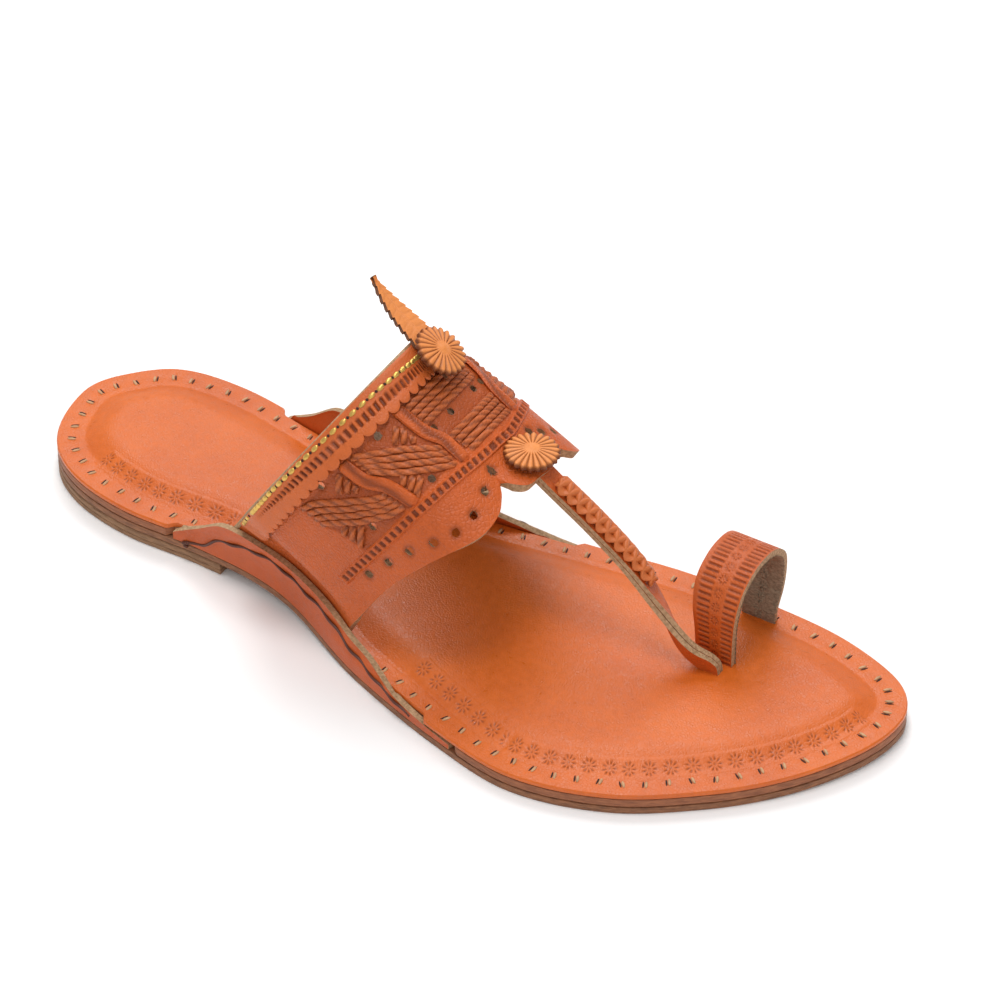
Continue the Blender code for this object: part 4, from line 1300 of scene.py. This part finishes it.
# The woven cords: the two sides of each bundle, and single strands, as turn and reach.
BUNDLES = (
    (
        ((11.7, 0.202), (15.2, 0.209), (18.4, 0.24), (23, 0.311), (27, 0.367), (31.8, 0.432),
         (36.9, 0.487), (40.8, 0.515)),
        ((11.6, 0.39), (14.7, 0.432), (17.1, 0.474), (19.8, 0.512), (22.6, 0.554), (27, 0.59),
         (31.4, 0.626), (36.9, 0.663), (43.5, 0.678)),
    ),
    (
        ((41.3, 0.202), (48.3, 0.263), (55.5, 0.331), (61.5, 0.383), (65.9, 0.435), (70.8, 0.487),
         (76.7, 0.559)),
        ((42.7, 0.367), (45.9, 0.421), (50.7, 0.494), (55.5, 0.548), (62.3, 0.608), (65.9, 0.637),
         (72.2, 0.689), (78.8, 0.732)),
    ),
)
CROSS_STRANDS = (
    ((33.5, 0.24), (27, 0.324)), ((34.3, 0.30), (29.4, 0.36)), ((34.5, 0.36), (31.8, 0.39)),
    ((17.8, 0.487), (13.8, 0.518)), ((19.8, 0.518), (14.3, 0.59)), ((23, 0.548), (14.3, 0.645)),
    ((65.9, 0.285), (60.1, 0.36)), ((67.9, 0.324), (63.8, 0.396)), ((69.3, 0.39), (67.4, 0.435)),
    ((54.6, 0.518), (49.8, 0.572)), ((57.5, 0.566), (50.7, 0.632)), ((60.5, 0.603), (51.2, 0.675)),
)
BARS = (
    ((37.3, 0.20), (39, 0.38), (44.5, 0.502), (49, 0.70)),
    ((70.1, 0.20), (73.2, 0.364), (75.4, 0.445), (79.7, 0.543), (81.1, 0.624), (82.5, 0.74)),
)
CENTRE_ROWS = (
    (74.1, 110.7, 0.259), (74.1, 110.0, 0.308), (75.4, 109.0, 0.354), (77.1, 108.1, 0.399),
    (83.1, 105.7, 0.569), (84.1, 105.3, 0.614), (85.1, 104.8, 0.663), (86.0, 104.4, 0.709),
)
CORDS_IN_BUNDLE = 4
CORD_WIDTH = 1.9 * MM
CORD_TWIST = 3.8 * MM
BRAID_TWIST = 2.8 * MM
BAR_WIDTH = 3.8 * MM
CORD_STEP = 0.34 * MM
CORD_SIDES = 10


def cord_on_band(name, path, width, height, lift, twist):
    """A twisted thong that lies on the band along a path and dives into it at both ends."""
    rough = [arch_point(*along_path(path, share)) for share in spread(0, 1, 12)]
    length = sum((b - a).length for a, b in zip(rough, rough[1:]))
    steps = max(int(length / CORD_STEP), 8)
    shares = spread(0, 1, steps)
    places = [along_path(path, share) for share in shares]
    centres = [arch_point(*place) for place in places]
    rings = []
    shades = []
    for i, (turn, reach) in enumerate(places):
        run = (centres[min(i + 1, steps - 1)] - centres[max(i - 1, 0)]).normalized()
        out = band_normal(turn, reach)
        across = run.cross(out).normalized()
        end = ease(min(shares[i], 1 - shares[i]) * length / (1.2 * MM))
        base = centres[i] + out * (lift * end + height * (end - 0.9) * 0.5)
        ring = []
        shade = []
        for k in range(CORD_SIDES):
            angle = 2 * math.pi * k / CORD_SIDES
            lay = 1 + TWIST_DEPTH * math.sin(2 * math.pi * shares[i] * length / twist + 2 * angle)
            # Painted shade in the valleys of the twist.
            shade.append(0.7 * ease((1 - lay) / TWIST_DEPTH))
            side = across * (math.cos(angle) * width / 2 * (0.9 + 0.1 * lay))
            ring.append(base + side + out * (math.sin(angle) * height / 2 * lay))
        rings.append(ring)
        shades.append(shade)
    return tube_piece(name, np.array(rings, float), np.array(shades))


TWIST_DEPTH = 0.34


def make_weave():
    """The cords and bars that are woven through the band's window."""
    cords = []
    for upper, lower in BUNDLES:
        for k in range(CORDS_IN_BUNDLE):
            share = (k + 0.5) / CORDS_IN_BUNDLE
            path = []
            for at in spread(0, 1, 9):
                high = along_path(upper, at)
                low = along_path(lower, at)
                path.append((mix(high[0], low[0], share), mix(high[1], low[1], share)))
            for side in both_sides(path):
                cords.append(cord_on_band("cord", side, CORD_WIDTH, CORD_RISE * 1.5, 0.0, CORD_TWIST))
    for strand in CROSS_STRANDS:
        for side in both_sides(strand):
            cords.append(cord_on_band("cord", side, CORD_WIDTH, CORD_RISE * 1.5, 0.2 * MM, CORD_TWIST))
    for start, end, reach in CENTRE_ROWS:
        path = [(turn, reach) for turn in spread(start, end, 5)]
        cords.append(cord_on_band("cord", path, CORD_WIDTH, CORD_RISE * 1.4, 0.0, BRAID_TWIST))
    piece = join("woven_cords", cords)
    dress(piece, [WOVEN_LEATHER], ["upper"])
    bars = []
    for bar in BARS:
        for side in both_sides(bar):
            bars.append(cord_on_band("bar", side, BAR_WIDTH, CORD_RISE * 1.6, 0.1 * MM, 40 * MM))
    piece = join("window_bars", bars)
    return dress(piece, [BAND_LEATHER], ["upper"])


# The dashes along the band's front, as the middle of the row in turn and reach.
DASH_ROW = (
    (1.4, 0.702), (5.4, 0.706), (12.3, 0.715), (20.9, 0.725), (31, 0.732), (42.7, 0.738),
    (55.5, 0.751), (68.4, 0.759), (79.7, 0.774), (88, 0.79), (92.6, 0.803), (95.25, 0.808),
)
DASH_PITCH = 2.35 * MM
DASH_LENGTH = 2.0 * MM
DASH_WIDTH = 1.25 * MM
DASH_DEPTH = 0.48 * MM
WELT_LIFT = 0.62 * MM
DASH_CELL = 0.3 * MM


def dash_reach(turn):
    """The reach of the dash row at a turn."""
    side = min(turn, mirrored(turn))
    return float(np.interp(side, column_of(DASH_ROW, 0), column_of(DASH_ROW, 1)))


def make_dashes():
    """The welt in front of the window with its row of pressed upright dashes."""
    start = length_at(mirrored(DASH_ROW[0][0]))
    end = length_at(DASH_ROW[0][0])
    count = int((start - end) / DASH_CELL)
    reach_size = (arch_point(90, 0.8) - arch_point(90, 0.7)).length / 0.1
    rows = spread(-0.9 * DASH_LENGTH, 0.9 * DASH_LENGTH, 15)
    points = []
    press_shades = []
    for i in range(count + 1):
        length = mix(start, end, i / count)
        turn = turn_at(length)
        away = abs((length % DASH_PITCH) / DASH_PITCH - 0.5) * DASH_PITCH
        middle = dash_reach(turn)
        ends = ease(min(i, count - i) * DASH_CELL / MM)
        points_row = []
        press_shade_row = []
        for row in rows:
            slot = ease((DASH_WIDTH / 2 - away) / (0.3 * MM) + 0.5)
            slot *= ease((DASH_LENGTH / 2 - abs(row)) / (0.4 * MM) + 0.5)
            welt = ease((0.9 * DASH_LENGTH - abs(row)) / (0.5 * MM)) * ends
            lift = WELT_LIFT * welt - 0.12 * MM - DASH_DEPTH * slot * ends
            points_row.append(lifted(turn, middle + row / reach_size, lift + 0.05 * MM))
            press_shade_row.append(slot * ends)
        points.append(points_row)
        press_shades.append(press_shade_row)
    piece = sheet_piece("dash_welt", np.array(points, float))
    # Painted shade in the pressed dashes.
    mark(piece, "hollow", 0.8 * np.array(press_shades))
    modify(piece, "SOLIDIFY", thickness=0.5 * MM, offset=-1)
    return dress(piece, [BAND_LEATHER], ["upper"])


# The edge strip and the gold cord.

# Where the strip's slots start and end, as turn, rear reach and front reach.
STRIP_SLOTS = (
    (5, 0.055, 0.075), (19, 0.057, 0.103), (31, 0.067, 0.122), (55.5, 0.090, 0.149),
    (79.7, 0.108, 0.160), (88, 0.111, 0.165), (95.25, 0.112, 0.166),
)
# The scallops' valleys and tips, as turn, valley reach and tip reach.
SCALLOP_ROWS = ((10, 0.172, 0.197), (31, 0.178, 0.208), (61, 0.196, 0.228), (77, 0.196, 0.236))
SLOT_PITCH = 1.7 * MM
SLOT_WIDTH = 0.85 * MM
SLOT_DEPTH = 0.7 * MM
SCALLOP_PITCH = 3.7 * MM
STRIP_COLUMNS_A_SCALLOP = 9
STRIP_LEVELS = 26
# The gold cord's middle line, as turn and reach.
GOLD_LINE = (
    (-17.8, 0.017), (0.7, 0.017), (12.3, 0.015), (20.9, 0.021), (31, 0.028), (42.7, 0.038),
    (55.5, 0.048), (68.4, 0.057), (79.7, 0.069), (86.6, 0.078), (95.25, 0.082),
)
GOLD_PITCH = 2.65 * MM
GOLD_PAD = (2.5 * MM, 1.45 * MM, 0.9 * MM)


def make_edge_strip():
    """The scalloped strip along the band's rear, with its row of narrow slots."""
    start = length_at(STRIP_TURNS[1])
    end = length_at(STRIP_TURNS[0])
    scallops = round((start - end) / SCALLOP_PITCH)
    count = scallops * STRIP_COLUMNS_A_SCALLOP
    points = []
    press_shades = []
    for i in range(count + 1):
        length = mix(start, end, i / count)
        turn = turn_at(length)
        wave = abs(math.sin(math.pi * i / STRIP_COLUMNS_A_SCALLOP)) ** 0.6
        side = min(turn, mirrored(turn))
        valley = float(np.interp(side, column_of(SCALLOP_ROWS, 0), column_of(SCALLOP_ROWS, 1)))
        tip = float(np.interp(side, column_of(SCALLOP_ROWS, 0), column_of(SCALLOP_ROWS, 2)))
        front = mix(valley, tip, wave)
        low = float(np.interp(side, column_of(STRIP_SLOTS, 0), column_of(STRIP_SLOTS, 1)))
        high = float(np.interp(side, column_of(STRIP_SLOTS, 0), column_of(STRIP_SLOTS, 2)))
        away = abs((length % SLOT_PITCH) / SLOT_PITCH - 0.5) * SLOT_PITCH
        fade = ease((side + 2) / 10)
        points_row = []
        press_shade_row = []
        for row in spread(0, 1, STRIP_LEVELS):
            reach = front * row
            slot = ease((SLOT_WIDTH / 2 - away) / (0.3 * MM) + 0.5) * fade
            slot *= ease(min(reach - low, high - reach) / 0.008 + 0.5)
            lift = CLEARANCE + EDGE_STRIP_WALL - SLOT_DEPTH * slot
            lift -= 0.3 * MM * (1 - ease(min(row, 1 - row) / 0.05))
            points_row.append(lifted(turn, reach, lift))
            press_shade_row.append(slot)
        points.append(points_row)
        press_shades.append(press_shade_row)
    piece = sheet_piece("edge_strip_dressed", np.array(points, float))
    # Painted shade in the slots.
    mark(piece, "hollow", 0.85 * np.array(press_shades))
    make_wall(piece, EDGE_STRIP_WALL * 0.55, [STRIP_LEATHER, CUT_EDGE], rim=1)
    return dress(piece, [STRIP_LEATHER, CUT_EDGE], ["edge_strip"])


def make_gold_cord():
    """The gold cord in lens-shaped pads along the rear of the strip, with a dark hole after each."""
    turns = column_of(GOLD_LINE, 0)
    reaches = column_of(GOLD_LINE, 1)
    start = length_at(turns[0])
    end = length_at(mirrored(turns[0]))
    count = int((end - start) / GOLD_PITCH)
    pads = []
    holes = []
    for i in range(count):
        for places, shift in ((pads, 0.0), (holes, 0.5)):
            turn = turn_at(start + (i + shift) * GOLD_PITCH)
            reach = float(np.interp(min(turn, mirrored(turn)), turns, reaches))
            here = lifted(turn, reach, CLEARANCE + EDGE_STRIP_WALL)
            run = lifted(turn + TURN_STEP, reach, 0) - lifted(turn - TURN_STEP, reach, 0)
            places.append(frame_at(here, run, band_normal(turn, reach)))
    dress(scatter("gold_cord", bead(GOLD_PAD), pads), [GOLD])
    hole = bead((0.8 * MM, 0.9 * MM, 0.5 * MM))
    dress(scatter("gold_cord_holes", hole, holes), [SLIT])


def make_folded_edge():
    """The thin folded edge that closes the band's rear, light outside."""
    lengths = spread(length_at(-30), length_at(mirrored(-30)), 240)
    centres = [lifted(turn_at(length), 0.0, -0.2 * MM) for length in lengths]
    piece = round_cord("folded_edge", centres, 0.75 * MM, 10)
    return dress(piece, [CUT_EDGE], ["upper"])


# Rosettes and feather.

ROSETTE_WALL = 1.4 * MM
ROSETTE_DOME = 0.9 * MM
ROSETTE_TOOTH = 0.8 * MM
ROSETTE_GROOVE = 0.35 * MM
ROSETTE_GAP = 3 * CLEARANCE


def make_rosette(name, seat, lift):
    """A tooled leather disc: radial grooves, a small boss and a serrated cut rim."""
    count = ROSETTE_TEETH * 8
    normal = band_normal(seat.turn, seat.reach)
    place = arch_point(seat.turn, seat.reach) + normal * lift
    turned = normal.to_track_quat("Z", "X").to_matrix()
    rings = []
    shades = []
    levels = [(share, True) for share in spread(0.02, 1, 22)] + [(1.0, False), (0.02, False)]
    for share, top in levels:
        ring = []
        shade = []
        for i in range(count):
            angle = 2 * math.pi * i / count
            wave = (1 + math.cos(ROSETTE_TEETH * angle)) / 2
            radius = ROSETTE_DIAMETER / 2 * share - ROSETTE_TOOTH * (1 - wave) * ease(share * 3 - 2)
            groove = (1 - wave) ** 3 * ease((share - 0.22) / 0.15)
            boss = math.exp(-((share / 0.16) ** 2)) * 0.5 * MM
            level = ROSETTE_WALL + ROSETTE_DOME * (1 - share**2) - ROSETTE_GROOVE * groove + boss
            level -= 0.3 * MM * ease((share - 0.93) / 0.07)
            height = level if top else 0.0
            spot = Vector((radius * math.cos(angle), radius * math.sin(angle), height))
            ring.append(place + turned @ spot)
            # Painted shade in the grooves and over the underside; the top's outer rim is darkened too.
            shade.append(max(0.7 * groove, 0.8 * ease((share - 0.9) / 0.1)) if top else 0.95)
        rings.append(ring)
        shades.append(shade)
    piece = tube_piece(name + "_dressed", np.array(rings, float), np.array(shades))
    return dress(piece, [TRIM_LEATHER], [name])


def make_feather():
    """The serrated, pointed leaf with a raised rib, its teeth cut at the edges."""
    seat = arch_point(REAR_ROSETTE.turn, REAR_ROSETTE.reach)
    normal = band_normal(REAR_ROSETTE.turn, REAR_ROSETTE.reach)
    seat += normal * (FEATHER_GAP + EDGE_STRIP_WALL + FEATHER_WALL)
    shares = spread(0, 1, 8 * FEATHER_TEETH + 1)
    lanes = spread(1, -1, 17)
    points = []
    press_shades = []
    for share in shares:
        back = path_value(FEATHER_ROWS, "back", share) * FEATHER_LENGTH
        side = path_value(FEATHER_ROWS, "side", share) * FEATHER_LENGTH
        up = path_value(FEATHER_ROWS, "up", share) * FEATHER_LENGTH
        half = path_value(FEATHER_ROWS, "width", share) * FEATHER_WIDTH / 2
        tooth = (share * FEATHER_TEETH) % 1
        width = max(half - FEATHER_TOOTH * tooth * min(half / FEATHER_WIDTH * 4, 1), CLEARANCE)
        row = []
        press = []
        for lane in lanes:
            vein = math.exp(-(((tooth - 0.5 + abs(lane) * 0.4) / 0.14) ** 2)) * ease(abs(lane) * 4)
            rib = 0.35 * MM * math.exp(-((lane / 0.12) ** 2))
            row.append(seat + Vector((-back, side + width * lane, up - 0.08 * MM * vein + rib)))
            press.append(0.3 * vein)
        points.append(row)
        press_shades.append(press)
    piece = sheet_piece("feather_dressed", np.array(points, float))
    # Painted shade in the pressed veins.
    mark(piece, "hollow", 0.5 * np.array(press_shades))
    make_wall(piece, FEATHER_WALL, [TRIM_LEATHER, DARK_EDGE], rim=1)
    return dress(piece, [TRIM_LEATHER, DARK_EDGE], ["feather"])


# The toe strap, its plait and the toe loop.

STRAP_STEPS = 120
STRAP_LAYERS = ((0.0, "toe_strap_top"), (0.52, "toe_strap_under"))
STRAP_LAYER_SHARE = 0.46
STRAND_COUNT = 3
STRAND_PERIOD = 10.5 * MM
STRAND_HALF = 1.55 * MM
STRAND_SWING = 0.62
STRAND_THICKNESS = 1.9 * MM
STRAND_SIDES = 12


def make_toe_strap():
    """The strap from under the tongue to its slot: two layers of hide with raw cut edges."""
    for drop, name in STRAP_LAYERS:
        points = grid_of(
            spread(0, 1, STRAP_STEPS), spread(1, -1, 11),
            lambda share, lane: strap_point(share, lane, -STRAP_WALL * drop),
        )
        piece = sheet_piece(name, points)
        make_wall(piece, STRAP_WALL * STRAP_LAYER_SHARE, [BAND_LEATHER, CUT_EDGE], rim=1)
        dress(piece, [BAND_LEATHER, CUT_EDGE], ["upper"])


def make_plait():
    """A three-strand plait of round-edged thongs on top of the toe strap."""
    shares = spread(PLAIT_SPAN[0], PLAIT_SPAN[1], 170)
    centres = [strap_centre(share) for share in shares]
    lengths = [0.0]
    for first, second in zip(centres, centres[1:]):
        lengths.append(lengths[-1] + (second - first).length)
    strands = []
    for index in range(STRAND_COUNT):
        rings = []
        for i, share in enumerate(shares):
            phase = 2 * math.pi * (lengths[i] / STRAND_PERIOD + index / STRAND_COUNT)
            lane = STRAND_SWING * math.sin(phase) * PLAIT_WIDTH / STRAP_WIDTH
            level = PLAIT_RISE * (0.50 + 0.26 * math.cos(2 * phase))
            ends = ease(min(i, len(shares) - 1 - i) / 6)
            ring = []
            for k in range(STRAND_SIDES):
                angle = 2 * math.pi * k / STRAND_SIDES
                across = math.cos(angle) * STRAND_HALF / (STRAP_WIDTH / 2) * (0.5 + 0.5 * ends)
                lift = math.sin(angle) * STRAND_THICKNESS / 2 * (0.5 + 0.5 * ends)
                ring.append(strap_point(share, lane + across, CLEARANCE + level + lift))
            rings.append(ring)
        strands.append(tube_piece("strand", np.array(rings, float)))
    piece = join("plait_dressed", strands)
    return dress(piece, [PLAIT_LEATHER], ["plait"])


LOOP_CELL = 0.35 * MM
LOOP_LANES = 40
LOOP_SLOT_PITCH = 1.7 * MM
LOOP_SLOT_WIDTH = 0.7 * MM
LOOP_SLOT_DEPTH = 0.4 * MM
LOOP_FLOWER_PITCH = 4 * MM
LOOP_ROWS_OF_SLOTS = ((0.19, 0.46), (-0.40, -0.12))


def make_toe_loop():
    """The stamped hoop for the big toe: two rows of pressed slots with dot flowers between."""
    fine = spread(0, 1, 400)
    path = [loop_point(share, 0) for share in fine]
    lengths = np.cumsum([0.0] + [(b - a).length for a, b in zip(path, path[1:])])
    count = int(lengths[-1] / LOOP_CELL)
    points = []
    press_shades = []
    for i in range(count + 1):
        length = lengths[-1] * i / count
        share = float(np.interp(length, lengths, fine))
        before = loop_point(max(share - 0.01, 0), 0)
        run = (loop_point(min(share + 0.01, 1), 0) - before).normalized()
        out = run.cross(Vector((-1, 0, 0))).normalized()
        away = abs((length % LOOP_SLOT_PITCH) / LOOP_SLOT_PITCH - 0.5) * LOOP_SLOT_PITCH
        near = (length % LOOP_FLOWER_PITCH) - LOOP_FLOWER_PITCH / 2
        row = []
        press_shade_row = []
        for lane in spread(0.5, -0.5, LOOP_LANES + 1):
            press = 0.0
            for low, high in LOOP_ROWS_OF_SLOTS:
                slot = ease((LOOP_SLOT_WIDTH / 2 - away) / (0.3 * MM) + 0.5)
                press = max(press, slot * ease(min(lane - low, high - lane) / 0.03 + 0.5))
            across = (lane - 0.02) * LOOP_WIDTH
            press = max(press, stamp_press(near * 1.5, across * 1.5))
            row.append(loop_point(share, lane) - out * LOOP_SLOT_DEPTH * press)
            press_shade_row.append(press)
        points.append(row)
        press_shades.append(press_shade_row)
    piece = sheet_piece("toe_loop_dressed", np.array(points, float))
    # Painted shade in the pressed slots and dot flowers.
    mark(piece, "hollow", 0.6 * np.array(press_shades))
    make_wall(piece, LOOP_WALL, [LOOP_LEATHER, SUEDE, CUT_EDGE], inside=1, rim=2)
    return dress(piece, [LOOP_LEATHER, SUEDE, CUT_EDGE], ["toe_loop"])


# The studio.

CAMERA_PLACE = Vector((0.6279, -0.8517, 0.8758))
CAMERA_AIM = Vector((0.108, 0.002, 0.030))
CAMERA_LENS = 172.0
FLOOR_SIZE = 12.0


def make_studio():
    """A pale floor, soft light from above and behind, and the camera at the photograph's angle."""
    bpy.ops.object.select_all(action="DESELECT")
    bpy.ops.mesh.primitive_plane_add(size=FLOOR_SIZE, location=(0, 0, CAD_BOX[0][2]))
    floor = bpy.context.object
    floor.name = "studio_floor"
    paper = bpy.data.materials.new("pale_studio_paper")
    paper.use_nodes = True
    shader = paper.node_tree.nodes["Principled BSDF"]
    shader.inputs["Base Color"].default_value = colour("#FFFFFF")
    shader.inputs["Roughness"].default_value = 0.9
    floor.data.materials.append(paper)

    world = bpy.data.worlds.new("studio_air")
    bpy.context.scene.world = world
    world.use_nodes = True
    air = world.node_tree.nodes["Background"]
    air.inputs["Color"].default_value = (1.0, 1.0, 1.0, 1.0)
    air.inputs["Strength"].default_value = 0.55

    for name, place, size, power in (
        ("key", (-0.5, 0.9, 1.5), 1.0, 15.0),
        ("fill", (0.9, -0.9, 1.1), 1.4, 4.0),
        ("overhead", (0.06, -0.12, 1.5), 0.45, 7.0),
    ):
        lamp = bpy.data.lights.new(name, "AREA")
        lamp.size = size
        lamp.energy = power
        holder = bpy.data.objects.new(name, lamp)
        holder.location = place
        holder.rotation_euler = (CAMERA_AIM - Vector(place)).to_track_quat("-Z", "Y").to_euler()
        bpy.context.scene.collection.objects.link(holder)

    camera = bpy.data.cameras.new("camera")
    camera.lens = CAMERA_LENS
    camera.sensor_width = 36
    holder = bpy.data.objects.new("camera", camera)
    holder.location = CAMERA_PLACE
    holder.rotation_euler = (CAMERA_AIM - CAMERA_PLACE).to_track_quat("-Z", "Y").to_euler()
    bpy.context.scene.collection.objects.link(holder)
    bpy.context.scene.camera = holder
    bpy.context.scene.view_settings.view_transform = "Standard"


def build():
    """Make every piece of the shoe and the studio round it."""
    make_heel_lift()
    sole_layer("outsole", 0.0, OUTSOLE_THICKNESS, SOLE_EDGE)
    midsole_top = MIDSOLE_BOTTOM + MIDSOLE_THICKNESS
    span = recess_span(MIDSOLE_BOTTOM)
    sole_layer("midsole", MIDSOLE_BOTTOM, midsole_top, MIDSOLE_EDGE, span)
    make_insole()
    make_sole_stitches()
    make_stamps()
    for name, side in (("flap_lateral", LATERAL), ("flap_medial", MEDIAL)):
        make_flap(name, side)
        dress(make_lacing(name + "_lacing", side), [DARK_CORD])
        dress(make_knot(name + "_knot", side), [DARK_CORD])
    make_band()
    make_weave()
    make_dashes()
    make_edge_strip()
    make_gold_cord()
    make_folded_edge()
    stack = FEATHER_GAP + EDGE_STRIP_WALL + FEATHER_WALL + ROSETTE_GAP
    make_rosette("rosette_rear", REAR_ROSETTE, stack)
    make_rosette("rosette_front", FRONT_ROSETTE, CORD_RISE + ROSETTE_GAP)
    make_feather()
    make_toe_strap()
    make_plait()
    make_toe_loop()
    make_studio()


build()
